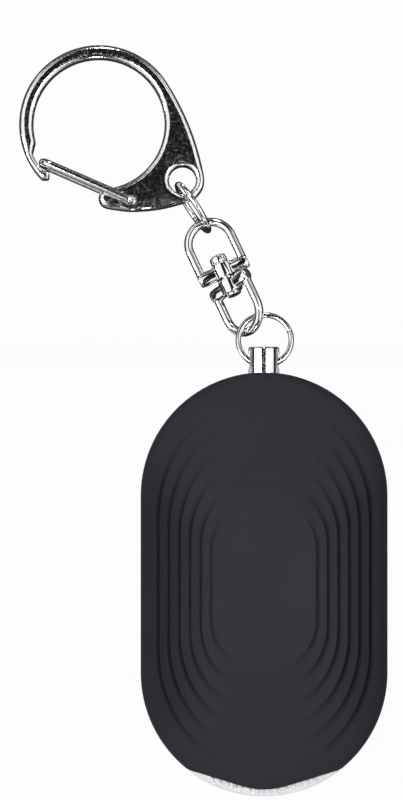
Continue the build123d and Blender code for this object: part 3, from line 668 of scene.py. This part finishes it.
def swivel_half(name, origin, across, along, length, body, node):
    """Make a loop with its crossbar and hub."""
    forms = bmesh.new()
    path = stretched_loop(origin + along * leg_start, across, along, length - leg_start)
    sweep_wire(forms, path, loop_wire / 2)
    loft_bar(forms, origin, across, along, across.cross(along))
    hub = rounded_turning(hub_radius, 0, crossbar_height, hub_edge)
    turn_profile(forms, origin, along, across, hub)
    keep_piece(name, forms, "ring_nickel", body, node)


swivel_half(
    "swivel_lower_loop",
    lower_face,
    lower_across,
    -swivel_axis,
    lower_length,
    "swivel_base",
    "swivel_lower",
)
swivel_half(
    "swivel_upper_loop",
    upper_face,
    upper_across,
    swivel_axis,
    upper_length,
    "swivel_head",
    "swivel_upper",
)

# %% [markdown]
# The rivet goes through both crossbars. Its wide head shows inside the upper loop and its smaller
# foot inside the lower one. Foot, shank and head are one profile, so it is one turned piece.

# %% Rivet
rivet_head_radius = 1.3 * mm
rivet_head_height = 1.35 * mm
rivet_head_edge = 0.4 * mm
rivet_foot_radius = 1.15 * mm
rivet_foot_height = 0.5 * mm
rivet_foot_edge = 0.2 * mm
rivet_shank_radius = 0.75 * mm
rivet_gap = 0.06 * mm
shank_low = -crossbar_height
shank_high = swivel_gap + crossbar_height + rivet_gap
rivet_profile = rounded_turning(
    rivet_foot_radius, shank_low - rivet_foot_height, shank_low, rivet_foot_edge
)
rivet_profile += [(rivet_shank_radius, shank_low), (rivet_shank_radius, shank_high)]
rivet_profile += rounded_turning(
    rivet_head_radius, shank_high, shank_high + rivet_head_height, rivet_head_edge
)
rivet_forms = bmesh.new()
turn_profile(rivet_forms, lower_face, swivel_axis, upper_across, rivet_profile)
keep_piece("swivel_rivet_turned", rivet_forms, "ring_nickel", "swivel_base", "swivel_rivet")

# %% [markdown]
# The snap hook is pressed from thick plate, with a round mouth, an eyelet for the link and a hole
# for the gate. Its outline could be traced point by point, but arcs that touch each other give
# the clean curves of a press tool. They are drawn about the centre of the mouth.

# %% Arcs of the hook's outline
hook_inner = 9.93 * mm
hook_outer = 12.1 * mm
hook_thickness = 2.6 * mm
hook_origin = Vector(mounts["hook_mouth"]["pos_m"])
hook_normal = Vector(mounts["hook_mouth"]["axis"]).normalized()
hook_x = Vector((1, 0, 0))
hook_y = hook_normal.cross(hook_x)
arc_pitch = 0.18 * mm


def polar(radius, degrees_round):
    """A point round the mouth's centre."""
    angle = radians(degrees_round)
    return Vector((radius * cos(angle), radius * sin(angle)))


def arc(centre, radius, start, end, turn=1):
    """Points of an arc about a centre, counter-clockwise when turn is 1."""
    first = atan2(start.y - centre.y, start.x - centre.x)
    last = atan2(end.y - centre.y, end.x - centre.x)
    swept = (turn * (last - first)) % (2 * pi)
    count = max(3, round(swept * radius / arc_pitch))
    angles = [first + turn * swept * step / count for step in range(count + 1)]
    return [centre + radius * Vector((cos(angle), sin(angle))) for angle in angles]


def holding_centre(centre_a, radius_a, centre_b, radius_b, radius):
    """Centre of the large circle that holds two circles and touches both."""
    reach_a = radius - radius_a
    reach_b = radius - radius_b
    gap = centre_b - centre_a
    along = (reach_a**2 - reach_b**2 + gap.length**2) / (2 * gap.length)
    aside = sqrt(reach_a**2 - along**2)
    direction = gap.normalized()
    return centre_a + direction * along + Vector((direction.y, -direction.x)) * aside


def touch(centre, radius, large_centre):
    """Where a circle touches the large one that holds it."""
    return centre + (centre - large_centre).normalized() * radius


print("hook band:", round((hook_outer - hook_inner) / mm, 2), "mm wide")

# %% [markdown]
# The outline runs round the outside from the eyelet's lobe to the nose, back over the toe and
# the notch that the gate closes on, and along the inside to the small round tail. One large arc
# joins lobe and body on the far side, and another joins lobe and tail along the foot.

# %% Outline of the hook
mouth = Vector((0, 0))
eyelet = Vector((12.65, -8.54)) * mm
eyelet_radius = 2.06 * mm
lobe_radius = 3.3 * mm
side_radius = 39.0 * mm
foot_radius = 22.0 * mm
tail_radius = 1.5 * mm
tail_at = -82.8
nose_tip = polar(hook_outer, 225.0)
nose_under = polar(11.3 * mm, 228.2)
toe = polar(10.45 * mm, 224.5)
notch_radius = 11.07 * mm
notch_start = polar(notch_radius, 219.5)
notch_end = polar(notch_radius, 205.0)
inside_start = polar(hook_inner, 196.0)
inside_end = polar(hook_inner, tail_at)
tail = polar(hook_inner + tail_radius, tail_at)
side_centre = holding_centre(mouth, hook_outer, eyelet, lobe_radius, side_radius)
foot_centre = holding_centre(eyelet, lobe_radius, tail, tail_radius, foot_radius)
side_start = touch(mouth, hook_outer, side_centre)
side_end = touch(eyelet, lobe_radius, side_centre)
foot_start = touch(eyelet, lobe_radius, foot_centre)
foot_end = touch(tail, tail_radius, foot_centre)
hook_outline = arc(mouth, hook_outer, side_start, nose_tip)
hook_outline += [nose_under, toe]
hook_outline += arc(mouth, notch_radius, notch_start, notch_end, -1)
hook_outline += arc(mouth, hook_inner, inside_start, inside_end, -1)
hook_outline += arc(tail, tail_radius, inside_end, foot_end)[1:]
hook_outline += arc(foot_centre, foot_radius, foot_end, foot_start)[1:]
hook_outline += arc(eyelet, lobe_radius, foot_start, side_end)[1:]
hook_outline += arc(side_centre, side_radius, side_end, side_start)[1:-1]
print("outline points:", len(hook_outline))

# %% [markdown]
# After pressing, the hook is tumbled, so its faces are flat and its edges are widely rounded. A
# flat curve with a bevel could be that shape, but a wide bevel turns itself inside out at the
# thin nose. Here rows of points step inwards from the outline while they climb a quarter circle.
# How far each point may go is measured first: it stops where another edge comes nearer.

# %% Room for a rounded edge
outline_pitch = 0.16 * mm
least_edge = 0.04 * mm
nearest_share = 0.93
back_step = 0.9
room_share = 0.96
room_smoothings = 4


def hole_points(centre, radius, count=72):
    return [centre + polar(radius, -360 * step / count) for step in range(count)]


def neighbours(items):
    """Each item of a closed row between the one before it and the one after it."""
    return zip(items[-1:] + items[:-1], items, items[1:] + items[:1])


def even_points(points, smoothing):
    """Lay even points along a closed outline, and ease its corners a little."""
    laid = []
    for here, there in zip(points, points[1:] + points[:1]):
        count = max(1, round((there - here).length / outline_pitch))
        laid += [here.lerp(there, step / count) for step in range(count)]
    for _ in range(smoothing):
        trios = neighbours(laid)
        laid = [0.25 * before + 0.5 * here + 0.25 * after for before, here, after in trios]
    return laid


def inward_normals(points):
    """Direction into the plate at each point of an outline."""
    headings = [(after - before).normalized() for before, here, after in neighbours(points)]
    return [Vector((-heading.y, heading.x)) for heading in headings]


def room_inside(points, normals, edge, tree):
    """How far each point can move inwards before another part of the outline is nearer."""
    room = []
    for point, normal in zip(points, normals):
        reach = edge
        while reach > least_edge:
            probe = point + reach * normal
            if tree.find(probe.to_3d())[2] > nearest_share * reach:
                break
            reach *= back_step
        room.append(room_share * reach)
    for _ in range(room_smoothings):
        room = [min(here, (before + here + after) / 3) for before, here, after in neighbours(room)]
    return room


# %% [markdown]
# The plate has three outlines: its own, the eyelet and the pivot hole. Each becomes a wall with
# both edges rounded over, and the two faces are filled between the rims of the walls.

# %% Snap hook plate
hook_edge = 0.86 * mm
eyelet_edge = 0.7 * mm
pivot_edge = 0.1 * mm
outline_smoothing = 3
gate_pivot = Vector((4.9, -11.74)) * mm
gate_wire = 1.25 * mm
gate_clearance = 0.06 * mm
wall_turns = quarter_turn(steps=7)


def rounded_wall(points, normals, room, thickness):
    """Rows of points up a plate's wall, with both edges rounded over by a quarter circle."""
    rows = []
    for side, turns in ((-1, wall_turns[::-1]), (1, wall_turns)):
        for turn in turns:
            row = []
            for point, normal, width in zip(points, normals, room):
                flat = point + width * (1 - cos(turn)) * normal
                row.append((flat.x, flat.y, side * (thickness / 2 - width * (1 - sin(turn)))))
            rows.append(row)
    return rows


def rounded_plate(outlines, thickness):
    """Forms of a plate from its outlines, each with its edge and its smoothing."""
    loops = [(even_points(points, smoothing), edge) for points, edge, smoothing in outlines]
    outline_places = [place for points, edge in loops for place in points]
    tree = KDTree(len(outline_places))
    for place in outline_places:
        tree.insert(place.to_3d(), 0)
    tree.balance()
    forms = bmesh.new()
    rims = {1: [], -1: []}
    for points, edge in loops:
        normals = inward_normals(points)
        room = room_inside(points, normals, edge, tree)
        wall = rounded_wall(points, normals, room, thickness)
        rows = [[forms.verts.new(place) for place in row] for row in wall]
        for here, there in zip(rows, rows[1:]):
            join_rows(forms, here, there)
        for side, row in ((-1, rows[0]), (1, rows[-1])):
            pairs = zip(row[-1:] + row[:-1], row)
            rims[side] += [forms.edges.get(pair) for pair in pairs]
    for side, rim in rims.items():
        bmesh.ops.triangle_fill(forms, edges=rim, use_beauty=True, normal=(0, 0, side))
    return forms


hook_forms = rounded_plate(
    [
        (hook_outline, hook_edge, outline_smoothing),
        (hole_points(eyelet, eyelet_radius), eyelet_edge, 0),
        (hole_points(gate_pivot, gate_wire / 2 + gate_clearance), pivot_edge, 0),
    ],
    hook_thickness,
)
hook_turn = Matrix((hook_x, hook_y, hook_normal)).transposed().to_4x4()
hook_forms.transform(Matrix.Translation(hook_origin) @ hook_turn)
keep_piece("snap_hook_plate", hook_forms, "hook_gunmetal", "hook", "snap_hook")

# %% [markdown]
# The gate is one spring wire bent into a long staple. Its two ends sit in the pivot hole from
# both faces of the hook. Its path is drawn with sharp corners first, and each corner is then
# rounded by its own radius, as the wire is bent round a peg.

# %% Gate wire
leg_height = hook_thickness / 2 + gate_clearance + gate_wire / 2
gate_nose = polar(10.33 * mm, 214.8)
gate_end_height = 0.15 * mm
pivot_bend = 0.66 * mm
nose_bend = 1.3 * mm
bend_points = 10


def on_hook(point, height):
    """A point of the hook's drawing, lifted off its middle plane, in the frame."""
    return hook_origin + hook_x * point.x + hook_y * point.y + hook_normal * height


def round_corners(points, radii):
    """Path through points with each inner corner rounded by its own radius."""
    path = [points[0]]
    for before, corner, after, radius in zip(points, points[1:], points[2:], radii):
        back = (before - corner).normalized()
        ahead = (after - corner).normalized()
        half_angle = back.angle(ahead) / 2
        reach = radius / (sin(half_angle) / cos(half_angle))
        middle = corner + (back + ahead).normalized() * (radius / sin(half_angle))
        first = corner + back * reach - middle
        last = corner + ahead * reach - middle
        shares = [step / bend_points for step in range(bend_points + 1)]
        path += [middle + radius * first.lerp(last, share).normalized() for share in shares]
    return path + [points[-1]]


gate_corners = [
    on_hook(gate_pivot, gate_end_height),
    on_hook(gate_pivot, leg_height),
    on_hook(gate_nose, leg_height),
    on_hook(gate_nose, -leg_height),
    on_hook(gate_pivot, -leg_height),
    on_hook(gate_pivot, -gate_end_height),
]
gate_bends = [pivot_bend, nose_bend, nose_bend, pivot_bend]
gate_forms = bmesh.new()
sweep_wire(gate_forms, round_corners(gate_corners, gate_bends), gate_wire / 2)
keep_piece("gate_wire", gate_forms, "hook_gunmetal", "gate", "hook_gate")

# %% [markdown]
# On the real face the steps are not square. Each one falls away steeply from a crisp shoulder and
# then sweeps out flat, and towards both ends the steps melt into one smooth slope. Smoothing the
# solid would soften every edge alike, so its plain steps carry a moulded skin instead. The skin
# is laid out from seven shoulders, ovals with straight sides, from the flat panel outwards.

# %% Shoulders of the steps
face_low, face_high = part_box("front_shell")
face_half_width = (face_high.x - face_low.x) / 2
face_half_length = face_high.y
panel_half_width = 7.7 * mm
panel_half_length = 12.7 * mm
rim_land_side = 1.3 * mm
rim_land_end = 2.15 * mm
last_half_width = face_half_width - rim_land_side
last_half_length = face_half_length - rim_land_end
length_shares = (0, 0.178, 0.355, 0.538, 0.716, 0.876, 1)
straight_shares = (1, 0.93, 0.87, 0.80, 0.78, 0.83, 0.91)
side_points = 30
end_points = 90


def shoulder_points(step):
    """Points round one shoulder: straight sides and half-elliptical ends."""
    share = step / (len(length_shares) - 1)
    wide = panel_half_width + share * (last_half_width - panel_half_width)
    tall = panel_half_length + length_shares[step] * (last_half_length - panel_half_length)
    straight = (tall - wide) * straight_shares[step]
    points = []
    for side in (1, -1):
        for place in range(side_points):
            points.append((side * wide, side * straight * (2 * place / side_points - 1)))
        for place in range(end_points):
            turn = pi * place / end_points
            height = straight + (tall - straight) * sin(turn)
            points.append((side * wide * cos(turn), side * height))
    return [Vector(point) for point in points]


shoulders = [shoulder_points(step) for step in range(len(length_shares))]
around = len(shoulders[0])
print("shoulders:", len(shoulders), "points round each:", around)

# %% [markdown]
# The height between two shoulders is a mix of two curves. At the sides it is a cove: a steep fall
# that flattens out and then climbs a little to the next crest. At the ends it is a plain slope.
# The direction in which a point lies from the panel says how much of an end it is.

# %% Height between two shoulders
step_drop = 0.62 * mm
crest_lifts = [0.0, 0.1 * mm, 0.18 * mm, 0.24 * mm, 0.26 * mm, 0.26 * mm, 0.06 * mm]
cove_share = 0.44
cove_power = 2.2
crest_power = 1.5
panel_power = 1.6
skin_lift = 0.01 * mm
head_melt_start = 0.6
foot_melt_start = 0.74
foot_melt_share = 0.95


def eased(share):
    """A share held between 0 and 1, and eased at both."""
    share = min(1.0, max(0.0, share))
    return share * share * (3 - 2 * share)


def end_share(first, last):
    """How far a run from the panel's shoulder to the last one belongs to an end."""
    run = (last - first).normalized()
    if run.y > 0:
        return eased((run.y - head_melt_start) / (1 - head_melt_start))
    return foot_melt_share * eased((-run.y - foot_melt_start) / (1 - foot_melt_start))


def wave_height(step, share, end):
    """Height between two shoulders: a cove at the sides, a plain slope at the ends."""
    top = face_high.z - step * step_drop
    lift = crest_lifts[step]
    fall = min(1.0, share / cove_share)
    cove = top + lift - (step_drop + lift) * (1 - (1 - fall) ** cove_power)
    if share > cove_share:
        climb = (share - cove_share) / (1 - cove_share)
        cove += crest_lifts[step + 1] * climb**crest_power
    slope = top - step_drop * (share**panel_power if step == 0 else share)
    return (1 - end) * cove + end * slope + skin_lift


ends = [end_share(first, last) for first, last in zip(shoulders[0], shoulders[-1])]
print("points of plain slope:", sum(end > 0.9 for end in ends))

# %% [markdown]
# The skin starts a little inside the panel, just under its face, so no seam shows there. Rings of
# points follow it from shoulder to shoulder, closer together where the fall is steep. Each ring
# also gets the value of its mask of painted shade. It is highest down the fall, where little light
# comes, and rises from step to step, which paints in the shade that darkens the face towards its
# sides.

# %% Rings over the steps
ring_shares = [0.0, 0.035, 0.075, 0.12, 0.17, 0.22, 0.28, 0.35, 0.44, 0.58, 0.72, 0.84, 0.92, 0.97]
panel_overlap = 0.42 * mm
panel_sink = 0.004 * mm
panel_level = face_high.z - panel_sink
shoulder_sink = 0.02 * mm
# painted shade on each step's land, rising outwards, and below how it comes in down each fall
painted_tread_shades = (0.0, 0.06, 0.15, 0.26, 0.4, 0.5, 0.52)
riser_start = 0.05
riser_power = 0.8
first_riser = 0.45
full_riser_step = 3


def painted_riser_shade(step, share):
    """How much painted shade darkens the coat between two shoulders at the sides."""
    steep = min(1.0, share / riser_start) * (1 - min(1.0, share / cove_share)) ** riser_power
    steep *= first_riser + (1 - first_riser) * min(1.0, step / full_riser_step)
    tread = painted_tread_shades[step] + share * (painted_tread_shades[step + 1] - painted_tread_shades[step])
    return steep + tread * (1 - steep)


inner_row = []
for first, second in zip(shoulders[0], shoulders[1]):
    flat = first - panel_overlap * (second - first).normalized()
    inner_row.append((flat.x, flat.y, panel_level))
skin_rows = [inner_row]
painted_shade_mask = [0.0] * around
for step in range(len(shoulders) - 1):
    for share in ring_shares:
        sink = shoulder_sink if share == 0.0 else 0.0
        row = []
        for here, there, end in zip(shoulders[step], shoulders[step + 1], ends):
            flat = here.lerp(there, share)
            row.append((flat.x, flat.y, min(wave_height(step, share, end) - sink, panel_level)))
        skin_rows.append(row)
        painted_shade_mask += [(1 - end) * painted_riser_shade(step, share) for end in ends]
print("rings over the steps:", len(skin_rows))

# %% [markdown]
# The last land runs out to the housing's rounded edge and rolls over with it. At the foot the
# housing is cut off in a shallow arch over the torch window. A boolean could trim the skin there,
# but it leaves slivers, so each point's way outwards is shortened until it stops before the cut.

# %% Where the rim ends
round_end = face_half_length - face_half_width
torch_cut_reach = 12.2 * mm
torch_cut_low = 1.08 * mm
torch_cut_radius = 11.5 * mm
torch_cut_slope = 0.307
edge_room = 0.03 * mm
cut_room = 0.04 * mm
trim_step = 0.02 * mm


def torch_cut(x):
    """Where the housing's torch end is cut off, at one distance across."""
    arch_end = torch_cut_radius * sin(atan2(torch_cut_slope, 1))
    dip = torch_cut_radius - sqrt(torch_cut_radius**2 - min(abs(x), arch_end) ** 2)
    return torch_cut_low - face_half_length + dip + torch_cut_slope * max(0.0, abs(x) - arch_end)


def is_cut_off(tip):
    """Whether a point lies past the torch end's cut, or too near to it."""
    over_window = tip.y <= 0 and abs(tip.x) <= torch_cut_reach
    return over_window and tip.y <= torch_cut(tip.x) + cut_room


def rim_run(point):
    """From a shoulder point: the way outwards, the land before the edge and the skin's reach."""
    middle = Vector((0, min(round_end, max(-round_end, point.y))))
    outwards = (point - middle).normalized()
    land = face_half_width - (point - middle).length - edge_room
    reach = land
    while is_cut_off(point + reach * outwards):
        reach -= trim_step
    return outwards, land, reach


rim_runs = [rim_run(point) for point in shoulders[-1]]
print("runs cut short:", sum(reach < land for outwards, land, reach in rim_runs))

# %% [markdown]
# Twelve more rings go over that land. They fall off the last shoulder and then follow the rounded
# edge down. The painted shade fades again towards the edge, which catches more light.

# %% Rings over the rim
rim_shares = (0.0, 0.08, 0.18, 0.3, 0.42, 0.54, 0.65, 0.75, 0.84, 0.91, 0.96, 1.0)
rim_level = face_high.z - len(shoulders) * step_drop
rim_round = 1.2 * mm
rim_power = 1.15
rim_sink = 0.03 * mm
# how far the painted shade fades out towards the rounded edge
rim_fade = 0.36
for share in rim_shares:
    row = []
    for point, (outwards, land, reach), end in zip(shoulders[-1], rim_runs, ends):
        flat = point + share * reach * outwards
        turned = max(0.0, rim_round - (land - share * reach))
        fallen = rim_round - sqrt(max(0.0, rim_round**2 - turned**2))
        above = (step_drop + (1 - end) * crest_lifts[-1]) * (1 - share) ** rim_power
        row.append((flat.x, flat.y, rim_level - fallen + (above - rim_sink * share)))
    skin_rows.append(row)
    painted_shade_mask += [(1 - end) * (painted_tread_shades[-1] - rim_fade * share) for end in ends]
print("rings in all:", len(skin_rows))

# %% [markdown]
# An open sheet would have no inside, and would shade wrongly where it is seen edge on. So the
# same rings lie once more a little lower, and the two layers are joined into one closed strip.

# %% Moulded skin
skin_thickness = 0.2 * mm
skin_forms = bmesh.new()
upper = [[skin_forms.verts.new(place) for place in row] for row in skin_rows]
lower_rows = [[(x, y, z - skin_thickness) for x, y, z in row] for row in skin_rows]
lower = [[skin_forms.verts.new(place) for place in row] for row in lower_rows]
strip = upper + lower[::-1]
for here, there in zip(strip, strip[1:] + strip[:1]):
    join_rows(skin_forms, here, there)
skin = keep_piece("moulded_skin", skin_forms, "shell_charcoal", "housing")
# the skin's mask of painted shade, the same value on both layers of each point
painted_shade = skin.data.attributes.new("painted_shade", "FLOAT", "POINT")
for place, entry in enumerate(painted_shade.data):
    entry.value = painted_shade_mask[place % len(painted_shade_mask)]

# %% [markdown]
# The torch window's top shows rows of small moulded beads that follow the housing's cut. Each
# bead is a low dome half sunk in the lens. A straight grid of beads would be cut off unevenly,
# so they are laid at even steps along the cut, and only where a whole bead has room. Blender's
# own sphere would do, but it stores its faces in another order each time. A ball built from
# rings comes out the same on every run.

# %% Beads of the torch window
lens_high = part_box("led_lens")[1]
bead_radius = 0.4 * mm
bead_pitch = 1.1 * mm
bead_squash = 0.9
bead_margin = 0.1 * mm
bead_sink = 0.02 * mm
bead_rings = 12
bead_sides = 20
bead_rows = 3
bead_columns = 9
row_gap = 0.95 * mm
cut_gap = 0.46 * mm


def room_in_crescent(x, y):
    """How far a point of the window lies inside the round end."""
    return face_half_width - Vector((x, y + round_end)).length


def add_bead(forms, centre):
    """Add a squashed ball: rings of points from pole to pole, with a fan of faces at each."""
    across, along = Vector((1, 0, 0)), Vector((0, 1, 0))
    rows = []
    for ring in range(1, bead_rings):
        turn = pi * ring / bead_rings
        middle = centre + Vector((0, 0, bead_squash * bead_radius * cos(turn)))
        width = bead_radius * sin(turn)
        corners = round_points(middle, across, along, width, full_turn(bead_sides))
        rows.append([forms.verts.new(corner) for corner in corners])
    for here, there in zip(rows, rows[1:]):
        join_rows(forms, here, there)
    for row, side in ((rows[0], 1), (rows[-1], -1)):
        pole = forms.verts.new(centre + Vector((0, 0, side * bead_squash * bead_radius)))
        for here, there in zip(row, row[1:] + row[:1]):
            forms.faces.new((here, there, pole))


bead_forms = bmesh.new()
bead_count = 0
for row in range(bead_rows):
    for column in range(-bead_columns, bead_columns + 1):
        bead_x = (column + (row % 2) / 2) * bead_pitch
        bead_y = torch_cut(bead_x) - cut_gap - row * row_gap
        reach = abs(bead_x) + bead_radius
        if room_in_crescent(bead_x, bead_y) > bead_radius + bead_margin and reach < lens_high.x:
            add_bead(bead_forms, Vector((bead_x, bead_y, lens_high.z - bead_sink)))
            bead_count += 1
keep_piece("lens_beads", bead_forms, "lens_clear", "housing")
print("beads:", bead_count)

# %% [markdown]
# The alarm lies on a white table whose edge ends under its pin, over a white floor, so the chain
# is free to hang when its joints turn. One plain floor would swallow the hook then. Both grounds
# glow white for the camera, so hardly a shadow shows, as in the photograph, and in the metal they
# are dimmer.

# %% Table and floor
floor_size = 3.0
floor_gap = 0.05 * mm
floor_drop = 90 * mm
edge_past_housing = 1 * mm
table_edge = face_half_length + edge_past_housing
glow_share = 0.97
glow_in_metal = 0.12


def flat_card(name, centre, size_x, size_y, turn=None):
    """Put a flat rectangle on the stage, which is no part of the alarm."""
    across, along = size_x / 2, size_y / 2
    corners = [(-across, -along, 0), (across, -along, 0), (across, along, 0), (-across, along, 0)]
    mesh = bpy.data.meshes.new(name)
    mesh.from_pydata(corners, [], [(0, 1, 2, 3)])
    card = bpy.data.objects.new(name, mesh)
    card.matrix_world = Matrix.Translation(centre) @ (turn or Matrix.Identity(4))
    bpy.context.scene.collection.objects.link(card)
    return card


table_middle = Vector((0, table_edge - floor_size / 2, cad_low.z - floor_gap))
table = flat_card("table", table_middle, floor_size, floor_size)
floor_middle = Vector((0, 0, cad_low.z - floor_drop))
floor = flat_card("floor", floor_middle, 2 * floor_size, 2 * floor_size)
white_floor = Finish("white floor")
paper = white_floor.blend(
    white_floor.noise(scale=900.0), shade(0.44, 0.44, 0.44), shade(0.48, 0.48, 0.48)
)
diffuse = white_floor.node("ShaderNodeBsdfDiffuse", sockets={"Color": paper})
glow = white_floor.node("ShaderNodeEmission", sockets={"Color": shade(1, 1, 1), "Strength": 1.0})
camera_ray, glossy_ray, through_ray = white_floor.rays("Camera", "Glossy", "Transmission")
glowing = glow_share * (camera_ray + glow_in_metal * glossy_ray + through_ray)
floor_mix = white_floor.node("ShaderNodeMixShader", sockets={0: glowing, 1: diffuse, 2: glow})
white_floor.node("ShaderNodeOutputMaterial", sockets={"Surface": floor_mix})
for ground in (table, floor):
    ground.data.materials.append(white_floor.material)
print("table ends at y:", round(table_edge / mm, 2), "mm")

# %% [markdown]
# Plated metal shows only what stands around it, as in any product studio. Dark paint on the metal
# would stay put when the view turns, so dark cards draw the bands instead. One overhead makes
# flat faces black, others at the head, the foot and the sides draw the dark bands on round wire,
# and mats at the table's level darken what the undersides see. The gaps between the cards are
# the white bands. Only reflections see the cards.

# %% Cards that the metal reflects
mat_level = cad_low.z + 0.5 * mm
under_level = cad_low.z - floor_gap / 2
side_on = Matrix.Rotation(pi / 2, 4, "Y")
end_on = Matrix.Rotation(pi / 2, 4, "X")
cards = [
    flat_card("card_overhead", Vector((-0.01, 0.03, 0.5)), 0.28, 2.6),
    flat_card("card_head", Vector((0, 0.95, 0.49)), 1.3, 0.9),
    flat_card("card_foot", Vector((0, -0.9, 0.49)), 1.3, 0.9),
    flat_card("card_left", Vector((-0.5, 0.03, 0.06)), 0.15, 0.9, side_on),
    flat_card("card_right", Vector((0.5, 0.03, 0.06)), 0.15, 0.9, side_on),
    flat_card("card_near", Vector((0, -0.5, 0.06)), 0.9, 0.15, end_on),
    flat_card("card_far", Vector((0, 0.55, 0.06)), 0.9, 0.15, end_on),
    flat_card("mat_left", Vector((-0.285, 0.03, mat_level)), 0.43, 0.9),
    flat_card("mat_right", Vector((0.265, 0.03, mat_level)), 0.43, 0.9),
    flat_card("mat_under", Vector((-0.01, 0.26, under_level)), 0.12, 0.445),
]
dark_card = Finish("dark card")
card_roughness = 0.9 + 0.05 * dark_card.noise(scale=40.0)
dark_card.surface({"Base Color": shade(0.012, 0.012, 0.013), "Roughness": card_roughness})
for card in cards:
    card.data.materials.append(dark_card.material)
    card.visible_camera = False
    card.visible_diffuse = False
    card.visible_shadow = False
    card.visible_transmission = False
print("cards:", len(cards))

# %% [markdown]
# One long strip light hangs over the alarm, in line with it and a little to the left, and two
# weak ones stand beyond its ends. Slopes that face sideways see little of the strip, so the steps
# show as dark lines along the sides. Slopes at the ends see its whole length and stay even, as in
# the photograph. The world adds a low even fill, and shows white behind the object and in its
# metal.

# %% Lights and world
light_aim = Vector((0, 0, 0.01))
world_fill = 0.1


def soft_light(name, place, size_x, size_y, power):
    """Hang a rectangular lamp that looks at the alarm."""
    lamp = bpy.data.lights.new(name, "AREA")
    lamp.shape = "RECTANGLE"
    lamp.size = size_x
    lamp.size_y = size_y
    lamp.energy = power
    light = bpy.data.objects.new(name, lamp)
    light.location = place
    light.rotation_euler = (light_aim - Vector(place)).to_track_quat("-Z", "Y").to_euler()
    bpy.context.scene.collection.objects.link(light)


soft_light("light_over", (-0.13, 0.0, 0.74), 0.06, 3.0, power=10.9)
soft_light("light_top", (0.0, 0.75, 0.3), 0.1, 0.3, power=1.0)
soft_light("light_bottom", (0.0, -0.75, 0.3), 0.1, 0.3, power=1.0)
world = bpy.data.worlds.new("studio")
bpy.context.scene.world = world
world.use_nodes = True
sky = Recipe(world.node_tree)
camera_ray, glossy_ray, through_ray = sky.rays("Camera", "Glossy", "Transmission")
brightness = world_fill + (1 - world_fill) * (camera_ray + glossy_ray + through_ray)
sky_sockets = {"Color": shade(1, 1, 1), "Strength": brightness}
background = sky.node("ShaderNodeBackground", sockets=sky_sockets)
sky.node("ShaderNodeOutputWorld", sockets={"Surface": background})
print("lights:", len(bpy.data.lights))

# %% [markdown]
# The photograph looks straight down through a long lens, so the camera does too. Its picture is
# upright, so the sensor's width spans the picture's height. The camera stands where that height
# is the photograph's height on the object, measured about half way up the housing.

# %% Camera
view_height = 120.42 * mm
view_centre = Vector((-9.38, 27.60, 0)) * mm
view_level = 9 * mm
lens_length = 300.0
camera_data = bpy.data.cameras.new("camera")
camera_data.lens = lens_length
camera_distance = lens_length / camera_data.sensor_width * view_height
camera = bpy.data.objects.new("camera", camera_data)
camera.location = view_centre + Vector((0, 0, camera_distance + view_level))
bpy.context.scene.collection.objects.link(camera)
bpy.context.scene.camera = camera
bpy.context.scene.view_settings.view_transform = "Standard"
print("camera height:", round(camera.location.z, 3), "m")
